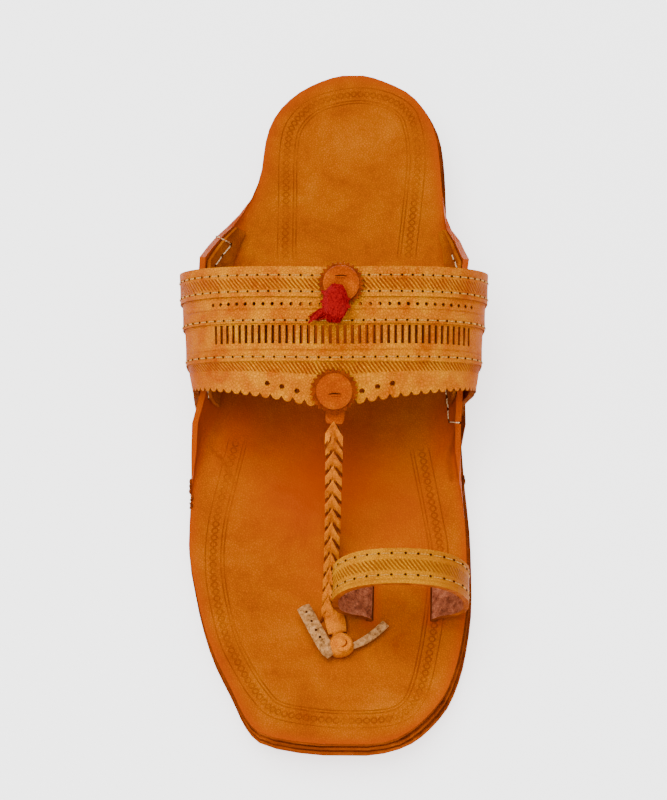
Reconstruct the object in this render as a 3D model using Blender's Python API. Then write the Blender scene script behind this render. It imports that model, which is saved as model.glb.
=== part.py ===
"""A kolhapuri sandal for the right foot, standing on its sole.

Metres, +Z up. The toe points to -Y, the big toe's side is +X, and the origin is on the floor under the
middle of the sandal's length and width. Each piece of leather is one closed solid, and a named clearance
parts it from its neighbours.
"""

import math

import bmesh
import bpy
from mathutils import Matrix, Vector

MM = 0.001
CLEARANCE = 0.3 * MM

# Sole
LENGTH = 276 * MM
BALL_WIDTH = 102.4 * MM
OUTSOLE_THICK = 4.2 * MM
MIDSOLE_THICK = 3.0 * MM
INSOLE_THICK = 2.7 * MM
LIFT_THICK = 4.35 * MM
TOE_SPRING = 8 * MM
OUTSOLE_FLARE = 1.0 * MM
MIDSOLE_FLARE = 0.5 * MM
RIM_WIDTH = 3.6 * MM
RIM_RUN = 7 * MM
LAYER_SHIFT = 0.6
END_STEP = 0.35 * MM
SOLE_STATIONS = 46
HEEL_LENGTH = 88 * MM
WAIST_LENGTH = 70 * MM
SPRING_LENGTH = 56 * MM

# Plan outline of the insole: distance from the heel as a share of LENGTH, and each edge's distance to
# the big toe's side of the centre line as a share of BALL_WIDTH.
OUTLINE_COLUMNS = ("along", "medial", "lateral")
OUTLINE_ROWS = (
    (0.000, -0.043, -0.043),
    (0.010, 0.068, -0.160),
    (0.034, 0.180, -0.265),
    (0.070, 0.247, -0.340),
    (0.105, 0.279, -0.369),
    (0.160, 0.295, -0.383),
    (0.230, 0.303, -0.405),
    (0.300, 0.315, -0.447),
    (0.400, 0.336, -0.512),
    (0.500, 0.353, -0.570),
    (0.600, 0.372, -0.604),
    (0.700, 0.397, -0.606),
    (0.775, 0.402, -0.573),
    (0.850, 0.382, -0.515),
    (0.920, 0.330, -0.426),
    (0.960, 0.258, -0.374),
    (0.983, 0.190, -0.318),
    (0.994, 0.132, -0.215),
    (1.000, -0.010, -0.010),
)

# Ears of the insole
EAR_HEIGHT = 42 * MM
EAR_THICK = 2.2 * MM
EAR_LEAN = 9.2 * MM
EAR_FILLET = 9 * MM
EAR_RELEASE = 0.35
BEND_SAG = 0.8 * MM
EAR_POINTS = 7
# For each ear, the height of its edge over the insole as a share of EAR_HEIGHT and its lean past the
# sole's edge as a share of EAR_LEAN; then the width of the bend at its foot as a share of EAR_FILLET.
EAR_COLUMNS = ("along", "high_lateral", "high_medial", "lean_lateral", "lean_medial", "bend")
EAR_ROWS = (
    (0.000, 0.00, 0.00, 0.00, 0.00, 0.00),
    (0.155, 0.00, 0.00, 0.00, 0.00, 0.10),
    (0.195, 0.07, 0.03, 0.17, 0.06, 0.60),
    (0.221, 0.12, 0.07, 0.46, 0.13, 0.90),
    (0.250, 0.22, 0.15, 0.73, 0.25, 1.00),
    (0.283, 0.40, 0.31, 0.96, 0.62, 1.00),
    (0.315, 0.60, 0.51, 1.00, 0.76, 1.00),
    (0.355, 0.85, 0.80, 0.98, 0.92, 1.00),
    (0.390, 0.88, 0.88, 0.76, 0.98, 1.00),
    (0.440, 0.80, 0.80, 0.50, 0.80, 1.00),
    (0.490, 0.62, 0.62, 0.33, 0.50, 1.00),
    (0.530, 0.44, 0.44, 0.16, 0.26, 0.95),
    (0.580, 0.22, 0.22, 0.04, 0.10, 0.80),
    (0.630, 0.07, 0.07, 0.00, 0.02, 0.50),
    (0.680, 0.00, 0.00, 0.00, 0.00, 0.10),
    (1.000, 0.00, 0.00, 0.00, 0.00, 0.00),
)
FACING_THICK = 1.2 * MM
FACING_REAR = 66 * MM
FACING_FRONT = 149 * MM
FACING_TOP = 0.95

# Instep strap, measured on the inside of its wall. Distances from the heel are at the crown.
STRAP_REAR = 114.0 * MM
STRAP_FRONT = 160.2 * MM
STRAP_REAR_CROWN = 75.2 * MM
STRAP_FRONT_CROWN = 53.0 * MM
STRAP_REAR_WIDTH = 109.4 * MM
STRAP_FRONT_WIDTH = 101.0 * MM
STRAP_REAR_CENTRE = -8.9 * MM
STRAP_FRONT_CENTRE = -8.4 * MM
STRAP_REAR_WIDEST = 40 * MM
STRAP_FRONT_WIDEST = 28 * MM
STRAP_REAR_BOW = 15.3 * MM
STRAP_FRONT_BOW = 19.2 * MM
STRAP_CROWN_BULGE = 2.4 * MM
# The front strip is widest at the crown: the seam along its rear edge keeps nearly to the strap's rear edge.
SEAM_ACROSS = 0.708
SEAM_ALONG = 144.4 * MM
SEAM_BOW = 11.9 * MM
STRAP_COLUMNS = 46
LEG_SHARE = 0.2
LEG_BEND = 0.7
# Height of the strap's outside over its inside, from the rear edge (0) to the front edge (1). Each
# strip laps over the next one, so the height falls at once where a strip ends.
STRIP_COLUMNS = ("across", "thick")
STRIP_ROWS = (
    (0.000, 3.1 * MM),
    (0.118, 3.3 * MM),
    (0.236, 3.7 * MM),
    (0.236, 2.9 * MM),
    (0.336, 3.1 * MM),
    (0.436, 3.5 * MM),
    (0.436, 2.7 * MM),
    (0.572, 2.9 * MM),
    (SEAM_ACROSS, 3.4 * MM),
    (SEAM_ACROSS, 2.6 * MM),
    (0.850, 2.5 * MM),
)
STRIP_EDGES = (0.236, 0.436, SEAM_ACROSS)
RIM_THICK = 2.3 * MM
SCALLOP_DEPTH = 1.7 * MM
SCALLOP_POINTS = 4

# Openings of the strap
SLOT_PITCH = 2.56 * MM
SLOT_WIDTH = 1.15 * MM
SLOT_LENGTH = 6.7 * MM
SLOT_ACROSS = 0.518
HOLE_REACHES = (-0.455, 0.602)
DOT_PITCH = 3.45 * MM
DOT_WIDTH = 1.5 * MM
DOT_ACROSS = 0.292
DOT_SIDES = 6
EYE_WIDTH = 2.2 * MM
EYE_ACROSS = (0.917, 0.9, 0.886)
EYE_START = 11.3 * MM
EYE_SPACING = 5.6 * MM
CUTTER_DEPTH = 12 * MM

# Rosettes
RING_RADIUS = 8.4 * MM
RING_THICK = 1.6 * MM
TOOTH_COUNT = 26
TOOTH_DEPTH = 1.2 * MM
DISC_RADIUS = 6.6 * MM
DISC_RIM = 1.3 * MM
DISC_DOME = 1.3 * MM
DISC_SIDES = 24
FRONT_ROSETTE = (1.4 * MM, 0.89)
REAR_ROSETTE = (4.2 * MM, 0.142)

# Toe loop
LOOP_CENTRE = 17.4 * MM
LOOP_ALONG = 218.8 * MM
LOOP_HALF_WIDTH = 24.0 * MM
LOOP_HEIGHT = 36.3 * MM
LOOP_BAND = 13.5 * MM
LOOP_THICK = 2.0 * MM
SLIT_SPACING = 23.4 * MM
LOOP_SAMPLES = 30
# Half of the loop's middle line, from the slit to the crown: distance from its centre as a share of
# LOOP_HALF_WIDTH, and height over the insole as a share of LOOP_HEIGHT.
LOOP_COLUMNS = ("across", "up")
LOOP_ROWS = (
    (0.56, 0.09),
    (0.78, 0.15),
    (0.97, 0.30),
    (0.99, 0.50),
    (0.88, 0.72),
    (0.64, 0.89),
    (0.33, 0.975),
    (0.00, 1.00),
)

# Braid, knot and tails
BRAID_TOP_WIDTH = 6.4 * MM
BRAID_TOE_WIDTH = 4.8 * MM
BRAID_LOW = 1.5 * MM
BRAID_HIGH = 2.8 * MM
BRAID_PITCH = 5.5 * MM
BRAID_SLOPE = 1.15
BRAID_X = (-6.4 * MM, -9.6 * MM)
BRAID_TOE = 224 * MM
# Side view of the braid: its run from the strap's front edge to BRAID_TOE, and its height between the
# insole (0) and that edge (1).
BRAID_COLUMNS = ("run", "up")
BRAID_ROWS = (
    (0.00, 1.00),
    (0.12, 0.83),
    (0.26, 0.62),
    (0.41, 0.39),
    (0.56, 0.20),
    (0.71, 0.07),
    (0.85, 0.01),
    (1.00, 0.00),
)
KNOT_PLACE = (-4.4 * MM, 236.8 * MM)
KNOT_RADIUS = 4.6 * MM
KNOT_HEIGHT = 5.6 * MM
THONG_WIDTH = 4.6 * MM
THONG_THICK = 1.6 * MM
TAIL_COLUMNS = ("name", "start_x", "start_along", "end_x", "end_along", "width", "thick", "lift")
TAIL_ROWS = (
    ("tail_lateral", -10.9 * MM, 239.0 * MM, -18.6 * MM, 223.6 * MM, 3.9 * MM, 2.4 * MM, 4.0 * MM),
    ("tail_medial", 1.0 * MM, 234.9 * MM, 12.0 * MM, 227.3 * MM, 3.0 * MM, 1.5 * MM, 1.5 * MM),
)

# Pompom and tongue
POMPOM_RADIUS = 4.4 * MM
POMPOM_LENGTH = 14.0 * MM
POMPOM_PLACE = (-2.4 * MM, -7.4 * MM, 5.2 * MM)
STRAND = (-0.84, -0.52, -0.16)
STRAND_LENGTH = 9.5 * MM
POMPOM_LOCKS = 22
LOCK_WIDTH = 2.4 * MM
TONGUE_WIDTH = 12 * MM
TONGUE_THICK = 1.6 * MM
TONGUE_SEAT = 3 * MM
TONGUE_SIZE = 17 * MM
# The tongue's run from the strap's rear edge: out to the heel and down, as shares of TONGUE_SIZE, and its
# width as a share of TONGUE_WIDTH.
TONGUE_COLUMNS = ("out", "down", "wide")
TONGUE_ROWS = (
    (0.00, 0.00, 1.00),
    (0.18, 0.02, 1.00),
    (0.32, 0.11, 0.97),
    (0.42, 0.30, 0.86),
    (0.48, 0.55, 0.64),
    (0.52, 0.82, 0.36),
    (0.54, 1.00, 0.08),
)

HEEL_RISE = 2 * (LIFT_THICK + CLEARANCE)
INSOLE_BASE = OUTSOLE_THICK + MIDSOLE_THICK + 2 * CLEARANCE
INSOLE_TOP = INSOLE_BASE + INSOLE_THICK


def clear_scene():
    """Remove every object, mesh, material and collection of the scene that is open."""
    for found in list(bpy.data.objects):
        bpy.data.objects.remove(found)
    for found in list(bpy.data.meshes):
        bpy.data.meshes.remove(found)
    for found in list(bpy.data.materials):
        bpy.data.materials.remove(found)
    for found in list(bpy.data.collections):
        bpy.data.collections.remove(found)


def make_collection(name):
    """Make a collection in the scene."""
    made = bpy.data.collections.new(name)
    bpy.context.scene.collection.children.link(made)
    return made


def make_material(name, colour, roughness):
    """Make a Principled material of one colour."""
    made = bpy.data.materials.new(name)
    made.use_nodes = True
    shader = made.node_tree.nodes["Principled BSDF"]
    shader.inputs["Base Color"].default_value = (*colour, 1)
    shader.inputs["Roughness"].default_value = roughness
    shader.inputs["Metallic"].default_value = 0
    made.diffuse_color = (*colour, 1)
    return made


def column(rows, columns, name):
    """One named column of a table."""
    place = columns.index(name)
    return [row[place] for row in rows]


def smooth_value(places, values, at):
    """Read a smooth curve through the values that never overshoots them."""
    if at <= places[0]:
        return values[0]
    if at >= places[-1]:
        return values[-1]
    i = max(k for k in range(len(places) - 1) if places[k] <= at)
    slopes = [(values[k + 1] - values[k]) / (places[k + 1] - places[k]) for k in range(len(places) - 1)]

    def tangent(k):
        if k in (0, len(values) - 1):
            return slopes[0] if k == 0 else slopes[-1]
        before, after = slopes[k - 1], slopes[k]
        return 0.0 if before * after <= 0 else 2 * before * after / (before + after)

    step = places[i + 1] - places[i]
    t = (at - places[i]) / step
    return (
        (2 * t**3 - 3 * t**2 + 1) * values[i]
        + (t**3 - 2 * t**2 + t) * step * tangent(i)
        + (3 * t**2 - 2 * t**3) * values[i + 1]
        + (t**3 - t**2) * step * tangent(i + 1)
    )


def smooth_points(points, count):
    """Points at even steps on a smooth curve through the given points."""
    places = [0.0]
    for before, after in zip(points, points[1:]):
        places.append(places[-1] + (Vector(after) - Vector(before)).length)
    size = len(points[0])
    found = []
    for k in range(count):
        at = places[-1] * k / (count - 1)
        found.append(Vector([smooth_value(places, [p[axis] for p in points], at) for axis in range(size)]))
    return found


def smooth_step(share):
    """Go smoothly from 0 to 1 while the share does."""
    share = min(1.0, max(0.0, share))
    return share * share * (3 - 2 * share)


def make_object(name, mesh_data, material, collection):
    """Put a bmesh into the scene as one object with its material."""
    bmesh.ops.recalc_face_normals(mesh_data, faces=mesh_data.faces)
    mesh = bpy.data.meshes.new(name)
    mesh_data.to_mesh(mesh)
    mesh_data.free()
    if material is not None:
        mesh.materials.append(material)
        mesh.shade_smooth()
        mesh.set_sharp_from_angle(angle=math.radians(35))
    made = bpy.data.objects.new(name, mesh)
    collection.objects.link(made)
    return made


def loft(rings):
    """Join rings of equal length into one closed body, its ends capped."""
    made = bmesh.new()
    rows = [[made.verts.new(point) for point in ring] for ring in rings]
    for first, second in zip(rows, rows[1:]):
        for k in range(len(first)):
            after = (k + 1) % len(first)
            made.faces.new((first[k], first[after], second[after], second[k]))
    made.faces.new(rows[0])
    made.faces.new(rows[-1])
    return made


def add_prism(mesh_data, outline, frame, low, high):
    """Add a closed prism of a flat outline, from low to high along the frame's Z."""
    bottom = [mesh_data.verts.new(frame @ Vector((x, y, low))) for x, y in outline]
    top = [mesh_data.verts.new(frame @ Vector((x, y, high))) for x, y in outline]
    mesh_data.faces.new(bottom[::-1])
    mesh_data.faces.new(top)
    for k in range(len(outline)):
        after = (k + 1) % len(outline)
        mesh_data.faces.new((bottom[k], bottom[after], top[after], top[k]))


def round_outline(radius, sides):
    """Corners of a regular outline."""
    turns = [2 * math.pi * k / sides for k in range(sides)]
    return [(radius * math.cos(turn), radius * math.sin(turn)) for turn in turns]


def add_boolean(target, cutter, operation):
    """Cut or join one object with another by an exact Boolean."""
    made = target.modifiers.new(operation.lower(), "BOOLEAN")
    made.operation = operation
    made.object = cutter
    made.solver = "EXACT"


def hide_cutter(cutter):
    """Mark an object as a cutter."""
    cutter.hide_render = True
    cutter.display_type = "WIRE"


def y_at(along):
    """The y of a distance from the heel."""
    return LENGTH / 2 - along


def outline_x(side, along):
    """The insole's edge at a distance from the heel; side is 1 for the big toe's side, -1 for the other."""
    share = min(1.0, max(0.0, along / LENGTH))

    def turn(value):
        return math.acos(1 - 2 * value) / math.pi

    places = [turn(value) for value in column(OUTLINE_ROWS, OUTLINE_COLUMNS, "along")]
    name = "medial" if side > 0 else "lateral"
    return BALL_WIDTH * smooth_value(places, column(OUTLINE_ROWS, OUTLINE_COLUMNS, name), turn(share))


def centre_x(along):
    """The middle between the insole's two edges."""
    return (outline_x(1, along) + outline_x(-1, along)) / 2


def rise(along):
    """Height of the outsole's underside over the floor."""
    if along > LENGTH - SPRING_LENGTH:
        return TOE_SPRING * ((along - LENGTH + SPRING_LENGTH) / SPRING_LENGTH) ** 1.8
    return HEEL_RISE * (1 - smooth_step((along - HEEL_LENGTH - CLEARANCE) / WAIST_LENGTH))


def flared_x(side, along, flare):
    """The edge of a lower layer, which stands past the insole's edge by the flare."""
    shrunk = (along - LENGTH / 2) * LENGTH / (LENGTH + 2 * flare) + LENGTH / 2
    spread = flare * smooth_step(min(shrunk, LENGTH - shrunk) / (6 * flare))
    return outline_x(side, shrunk) + (side + LAYER_SHIFT) * spread


def stations(flare, count, end=None):
    """Distances from the heel, closer together at the toe and at the heel."""
    total = LENGTH + 2 * flare
    last_place = total - END_STEP if end is None else end + flare
    first = math.acos(1 - 2 * END_STEP / total)
    last = math.acos(1 - 2 * last_place / total)
    turns = [first + (last - first) * k / (count - 1) for k in range(count)]
    return [total * (1 - math.cos(turn)) / 2 - flare for turn in turns]


def strap_edges(turn):
    """Distance from the heel of the strap's rear and front edges at a turn round its arch."""
    slack = 1 - math.sin(turn)
    return (
        STRAP_REAR - STRAP_REAR_BOW * slack**0.85,
        STRAP_FRONT - STRAP_FRONT_BOW * slack**0.48,
    )


def strap_along(turn, across):
    """Distance from the heel at a share of the strap's width, with the seam kept at its own share."""
    rear, front = strap_edges(turn)
    seam = SEAM_ALONG - SEAM_BOW * (1 - math.sin(turn)) ** 0.85
    if across < SEAM_ACROSS:
        return rear + (seam - rear) * across / SEAM_ACROSS
    return seam + (front - seam) * (across - SEAM_ACROSS) / (1 - SEAM_ACROSS)


def strap_foot(side, along):
    """Where the inside of the strap's end stands on the outsole: (x, z)."""
    x = flared_x(side, along, MIDSOLE_FLARE) + side * CLEARANCE
    return x, rise(along) + OUTSOLE_THICK + CLEARANCE


def strap_point(reach, across):
    """A point inside the strap's wall. reach goes from -1, the outer side's foot, over 0, the crown."""
    side = 1 if reach > 0 else -1
    arm = min(1.0, abs(reach) / (1 - LEG_SHARE))
    turn = math.pi / 2 * (1 - arm)
    along = strap_along(turn, across)

    def between(at_rear, at_front):
        return at_rear + (at_front - at_rear) * across

    half = between(STRAP_REAR_WIDTH, STRAP_FRONT_WIDTH) / 2
    centre = between(STRAP_REAR_CENTRE, STRAP_FRONT_CENTRE)
    widest = between(STRAP_REAR_WIDEST, STRAP_FRONT_WIDEST)
    crown = between(STRAP_REAR_CROWN, STRAP_FRONT_CROWN) + 4 * STRAP_CROWN_BULGE * across * (1 - across)
    x = centre + side * half * math.cos(turn)
    z = widest + (crown - widest) * math.sin(turn)
    leg = max(0.0, (abs(reach) - (1 - LEG_SHARE)) / LEG_SHARE)
    if leg > 0:
        foot_x, foot_z = strap_foot(side, along)
        x += (foot_x - x) * smooth_step(leg / LEG_BEND)
        z += (foot_z - z) * leg
    return Vector((x, y_at(along), z))


def strap_frame(reach, across):
    """Matrix at a point of the strap: X runs round the arch, Y to the heel, Z out of the wall."""
    step = 0.002
    round_arch = strap_point(reach + step, across) - strap_point(reach - step, across)
    to_toe = strap_point(reach, across + step) - strap_point(reach, across - step)
    normal = round_arch.cross(-to_toe).normalized()
    x_axis = round_arch.normalized()
    y_axis = normal.cross(x_axis)
    frame = Matrix((x_axis, y_axis, normal)).transposed().to_4x4()
    frame.translation = strap_point(reach, across)
    return frame


def strap_outside(reach, across, thick):
    """A point on the strap's outside."""
    frame = strap_frame(max(-0.997, min(0.997, reach)), across)
    out = frame.to_3x3() @ Vector((0, 0, 1))
    if abs(reach) > 0.999:
        out = Vector((out.x, out.y, 0)).normalized()
    return strap_point(reach, across) + out * thick


def strap_inside_x(side, along, height):
    """The inside of the strap at a height over the floor, wider beside the strap's two edges."""
    low, high = 0.0, 1.0
    for _ in range(24):
        middle = (low + high) / 2
        turn = math.pi / 2 * (1 - min(1.0, middle / (1 - LEG_SHARE)))
        rear, front = strap_edges(turn)
        across = min(1.0, max(0.0, (along - rear) / (front - rear)))
        if strap_point(side * middle, across).z > height:
            low = middle
        else:
            high = middle
    beyond = max(0.0, rear - along, along - front)
    return strap_point(side * low, across).x + side * EAR_RELEASE * beyond


def strap_reaches(across, pitch):
    """Places at even distances round the arch, as many as fit between the two HOLE_REACHES."""
    samples = 120
    low, high = HOLE_REACHES
    marks = [low + (high - low) * k / samples for k in range(samples + 1)]
    lengths = [0.0]
    for before, after in zip(marks, marks[1:]):
        step = strap_point(after, across) - strap_point(before, across)
        lengths.append(lengths[-1] + step.length)
    count = int(lengths[-1] / pitch)
    spare = (lengths[-1] - count * pitch) / 2
    return [smooth_value(lengths, marks, spare + pitch * k) for k in range(count + 1)]


def ear_value(name, along, side=0):
    """A column of the ears' table at a distance from the heel, for one side where the sides differ."""
    places = column(EAR_ROWS, EAR_COLUMNS, "along")
    full = name + {1: "_medial", 0: "", -1: "_lateral"}[side]
    return smooth_value(places, column(EAR_ROWS, EAR_COLUMNS, full), along / LENGTH)


def ear_height(side, along):
    """Height of an ear's edge over the insole."""
    return EAR_HEIGHT * ear_value("high", along, side)


def ear_back(side, along, share):
    """A point (x, z) on the outer face of an ear, or under the insole's edge where there is no ear."""
    edge = outline_x(side, along)
    half = abs(edge - centre_x(along))
    start = edge - side * (EAR_FILLET * ear_value("bend", along) + 0.04 * half)
    top = edge + side * EAR_LEAN * ear_value("lean", along, side)
    height = ear_height(side, along)
    base = rise(along) + INSOLE_BASE
    if height > 0:
        limit = strap_inside_x(side, along, base + height) - side * 3 * CLEARANCE
        top = side * min(side * top, side * limit)
    return start + (top - start) * (1 - (1 - share) ** 2), base + height * share**1.6


def ear_front(side, along, share, depth):
    """A point (x, z) of an ear at a depth inwards from its outer face."""
    step = 0.02
    x0, z0 = ear_back(side, along, max(0.0, share - step))
    x1, z1 = ear_back(side, along, min(1.0, share + step))
    length = math.hypot(x1 - x0, z1 - z0)
    firm = smooth_step(ear_height(side, along) / (4 * INSOLE_THICK))
    x, z = ear_back(side, along, share)
    upward = 1 - firm * (1 - side * (x1 - x0) / length)
    return x - side * firm * (z1 - z0) / length * depth, z + upward * depth


def ear_thickness(side, along, share):
    """The leather's thickness, which thins from the insole to an ear's edge."""
    thin = (INSOLE_THICK - EAR_THICK) * min(1.0, 6 * ear_value("high", along, side))
    return INSOLE_THICK - thin * share


def insole_section(along):
    """The insole's section across the foot, ears and all."""
    shares = [k / (EAR_POINTS - 1) for k in range(EAR_POINTS)]
    under, over = [], []
    for side, order in ((-1, shares[::-1]), (1, shares)):
        for share in order:
            under.append(ear_back(side, along, share))
            over.append(ear_front(side, along, share, ear_thickness(side, along, share)))
    y = y_at(along)
    return [Vector((x, y, z)) for x, z in under] + [Vector((x, y, z)) for x, z in reversed(over)]


def ear_under(side, along, x):
    """Height of the insole's underside at x, bend of the ear and all."""
    base = rise(along) + INSOLE_BASE
    height = ear_height(side, along)
    if height <= 0:
        return base
    start, _ = ear_back(side, along, 0)
    top, _ = ear_back(side, along, 1)
    ratio = min(0.6, max(0.0, (x - start) / (top - start)))
    return base + height * (1 - math.sqrt(1 - ratio)) ** 1.6


def midsole_side(side, along):
    """The midsole's upper face from the middle to its edge, fitted under the bend of the ear."""
    edge = flared_x(side, along, MIDSOLE_FLARE)
    half = abs(edge - centre_x(along))
    bend = MIDSOLE_FLARE + EAR_FILLET * ear_value("bend", along)
    run = min(0.6 * half, max(0.2 * half, bend))
    found = []
    for k in range(6):
        x = edge - side * run * (1 - k / 5)
        z = ear_under(side, along, x)
        sag = BEND_SAG * min(1.0, (z - rise(along) - INSOLE_BASE) / BEND_SAG)
        found.append((x, z - CLEARANCE - sag))
    return found


def midsole_section(along):
    """The midsole's section across the foot."""
    low = rise(along) + OUTSOLE_THICK + CLEARANCE
    lateral = midsole_side(-1, along)
    medial = midsole_side(1, along)
    over = lateral[::-1] + medial
    under = [(over[-1][0], low), (medial[0][0], low), (lateral[0][0], low), (over[0][0], low)]
    return [Vector((x, y_at(along), z)) for x, z in over + under]


def rim_share(along):
    """How far the outsole's rim comes out under the strap's ends."""
    rear, front = strap_edges(0)
    return smooth_step((along - rear + RIM_RUN) / RIM_RUN) * smooth_step((front + RIM_RUN - along) / RIM_RUN)


def outsole_section(along):
    """The outsole's section across the foot, with slightly rounded lower edges."""
    low = rise(along)
    high = low + OUTSOLE_THICK
    left, right = (
        flared_x(side, along, OUTSOLE_FLARE) + side * (RIM_WIDTH - OUTSOLE_FLARE) * rim_share(along)
        for side in (-1, 1)
    )
    ease = min(0.8 * MM, (right - left) / 8)
    corners = ((left, high), (right, high), (right, low + ease), (right - ease, low), (left + ease, low),
               (left, low + ease))
    return [Vector((x, y_at(along), z)) for x, z in corners]


def lift_section(along, low):
    """A heel lift's section across the foot."""
    left, right = (flared_x(side, along, OUTSOLE_FLARE) for side in (-1, 1))
    high = low + LIFT_THICK
    corners = ((left, high), (right, high), (right, low), (left, low))
    return [Vector((x, y_at(along), z)) for x, z in corners]


def build_sole(parts, cutters, materials):
    """Outsole, midsole, heel lifts and the insole with its ears and slits."""
    places = stations(0, SOLE_STATIONS)
    lift_places = stations(OUTSOLE_FLARE, 14, HEEL_LENGTH)
    made = {
        "outsole": [outsole_section(along) for along in stations(OUTSOLE_FLARE, SOLE_STATIONS)],
        "midsole": [midsole_section(along) for along in stations(MIDSOLE_FLARE, SOLE_STATIONS)],
        "heel_lift_upper": [lift_section(along, LIFT_THICK + CLEARANCE) for along in lift_places],
        "heel_lift_lower": [lift_section(along, 0) for along in lift_places],
    }
    for name, rings in made.items():
        make_object(name, loft(rings), materials["edge"], parts)
    insole = make_object("insole", loft([insole_section(a) for a in places]), materials["insole"], parts)
    slits = bmesh.new()
    half_width = LOOP_THICK / 2 + CLEARANCE
    half_length = LOOP_BAND / 2 + CLEARANCE
    corners = [(-half_width, -half_length), (half_width, -half_length), (half_width, half_length),
               (-half_width, half_length)]
    for side in (-1, 1):
        frame = Matrix.Translation((LOOP_CENTRE + side * SLIT_SPACING / 2, y_at(LOOP_ALONG), 0))
        add_prism(slits, corners, frame, 0, INSOLE_TOP + 2 * TOE_SPRING)
    cutter = make_object("slit_cutter", slits, None, cutters)
    hide_cutter(cutter)
    add_boolean(insole, cutter, "DIFFERENCE")


def build_ear_facings(parts, materials):
    """The leather facing sewn inside each ear, near its edge."""
    shares = [k / (EAR_POINTS - 1) for k in range(EAR_POINTS // 2, EAR_POINTS - 1)] + [FACING_TOP]
    places = [along for along in stations(0, SOLE_STATIONS) if FACING_REAR < along < FACING_FRONT]
    for side, name in ((-1, "ear_facing_lateral"), (1, "ear_facing_medial")):
        rings = []
        for along in places:
            near = [ear_thickness(side, along, share) + 1.7 * CLEARANCE for share in shares]
            outer = [ear_front(side, along, share, depth) for share, depth in zip(shares, near)]
            inner = [ear_front(side, along, share, depth + FACING_THICK) for share, depth in zip(shares, near)]
            rings.append([Vector((x, y_at(along), z)) for x, z in outer + inner[::-1]])
        make_object(name, loft(rings), materials["insole"], parts)


def strap_mesh():
    """The strap's wall: stepped strips outside, smooth inside, a scalloped front edge."""
    across = column(STRIP_ROWS, STRIP_COLUMNS, "across")
    thick = column(STRIP_ROWS, STRIP_COLUMNS, "thick")
    inner_across = (0.0, *STRIP_EDGES, across[-1])
    made = bmesh.new()
    rings = []
    for k in range(STRAP_COLUMNS + 1):
        reach = -1 + 2 * k / STRAP_COLUMNS
        outer = [made.verts.new(strap_outside(reach, a, t)) for a, t in zip(across, thick)]
        inner = [made.verts.new(strap_point(reach, a)) for a in inner_across]
        rings.append((outer, inner))
    front = strap_edge_rows(made)
    for k, ((outer_a, inner_a), (outer_b, inner_b)) in enumerate(zip(rings, rings[1:])):
        for row_a, row_b in ((outer_a, outer_b), (inner_b, inner_a)):
            for i in range(len(row_a) - 1):
                made.faces.new((row_a[i], row_b[i], row_b[i + 1], row_a[i + 1]))
        made.faces.new((outer_b[0], outer_a[0], inner_a[0], inner_b[0]))
        first = k * SCALLOP_POINTS
        outer_edge = [row[0] for row in front[first : first + SCALLOP_POINTS + 1]]
        inner_edge = [row[1] for row in front[first : first + SCALLOP_POINTS + 1]]
        made.faces.new([outer_a[-1], outer_b[-1], *outer_edge[::-1]])
        made.faces.new([inner_b[-1], inner_a[-1], *inner_edge])
        for i in range(SCALLOP_POINTS):
            made.faces.new((outer_edge[i], outer_edge[i + 1], inner_edge[i + 1], inner_edge[i]))
    for (outer, inner), (outer_edge, inner_edge) in ((rings[0], front[0]), (rings[-1], front[-1])):
        made.faces.new([*outer, outer_edge, inner_edge, *inner[::-1]])
    return made


def strap_edge_rows(mesh_data):
    """Vertices of the scalloped front edge, outside and inside, one lobe for each column."""
    found = []
    depth_share = SCALLOP_DEPTH / (STRAP_FRONT - STRAP_REAR)
    for k in range(STRAP_COLUMNS * SCALLOP_POINTS + 1):
        reach = -1 + 2 * k / (STRAP_COLUMNS * SCALLOP_POINTS)
        lobe = math.sqrt(math.sin(math.pi * (k % SCALLOP_POINTS) / SCALLOP_POINTS))
        fade = 1 - smooth_step((abs(reach) - 0.78) / 0.1)
        a = 1 - depth_share * (1 - lobe) * fade
        outer = mesh_data.verts.new(strap_outside(reach, a, RIM_THICK))
        inner = mesh_data.verts.new(strap_point(reach, a))
        found.append((outer, inner))
    return found


def build_upper(parts, cutters, materials):
    """The strap with its slots, its row of round holes and the eyes beside the front rosette."""
    upper = make_object("upper", strap_mesh(), materials["strap"], parts)
    holes = bmesh.new()
    half = CUTTER_DEPTH / 2
    slot = [(-SLOT_WIDTH / 2, -SLOT_LENGTH / 2), (SLOT_WIDTH / 2, -SLOT_LENGTH / 2),
            (SLOT_WIDTH / 2, SLOT_LENGTH / 2), (-SLOT_WIDTH / 2, SLOT_LENGTH / 2)]
    for reach in strap_reaches(SLOT_ACROSS, SLOT_PITCH):
        add_prism(holes, slot, strap_frame(reach, SLOT_ACROSS), -half, half)
    for reach in strap_reaches(DOT_ACROSS, DOT_PITCH):
        add_prism(holes, round_outline(DOT_WIDTH / 2, DOT_SIDES), strap_frame(reach, DOT_ACROSS), -half, half)
    for side in (-1, 1):
        for k, across in enumerate(EYE_ACROSS):
            distance = EYE_START + EYE_SPACING * k
            reach = side * distance / (STRAP_FRONT_WIDTH / 2) * 2 / math.pi * (1 - LEG_SHARE)
            frame = strap_frame(reach, across)
            add_prism(holes, round_outline(EYE_WIDTH / 2, DOT_SIDES), frame, -half, half)
    cutter = make_object("strap_cutter", holes, None, cutters)
    hide_cutter(cutter)
    add_boolean(upper, cutter, "DIFFERENCE")


def rosette_frame(place, lift):
    """Frame near the strap's crown, lifted clear of the highest strip under a rosette."""
    shift, across = place
    frame = strap_frame(shift / (STRAP_FRONT_WIDTH / 2) * 2 / math.pi * (1 - LEG_SHARE), across)
    spread = RING_RADIUS / (STRAP_FRONT - STRAP_REAR)
    highest = max(thick for at, thick in STRIP_ROWS if abs(at - across) < spread)
    return frame @ Matrix.Translation((0, 0, highest + CLEARANCE + lift))


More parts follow.
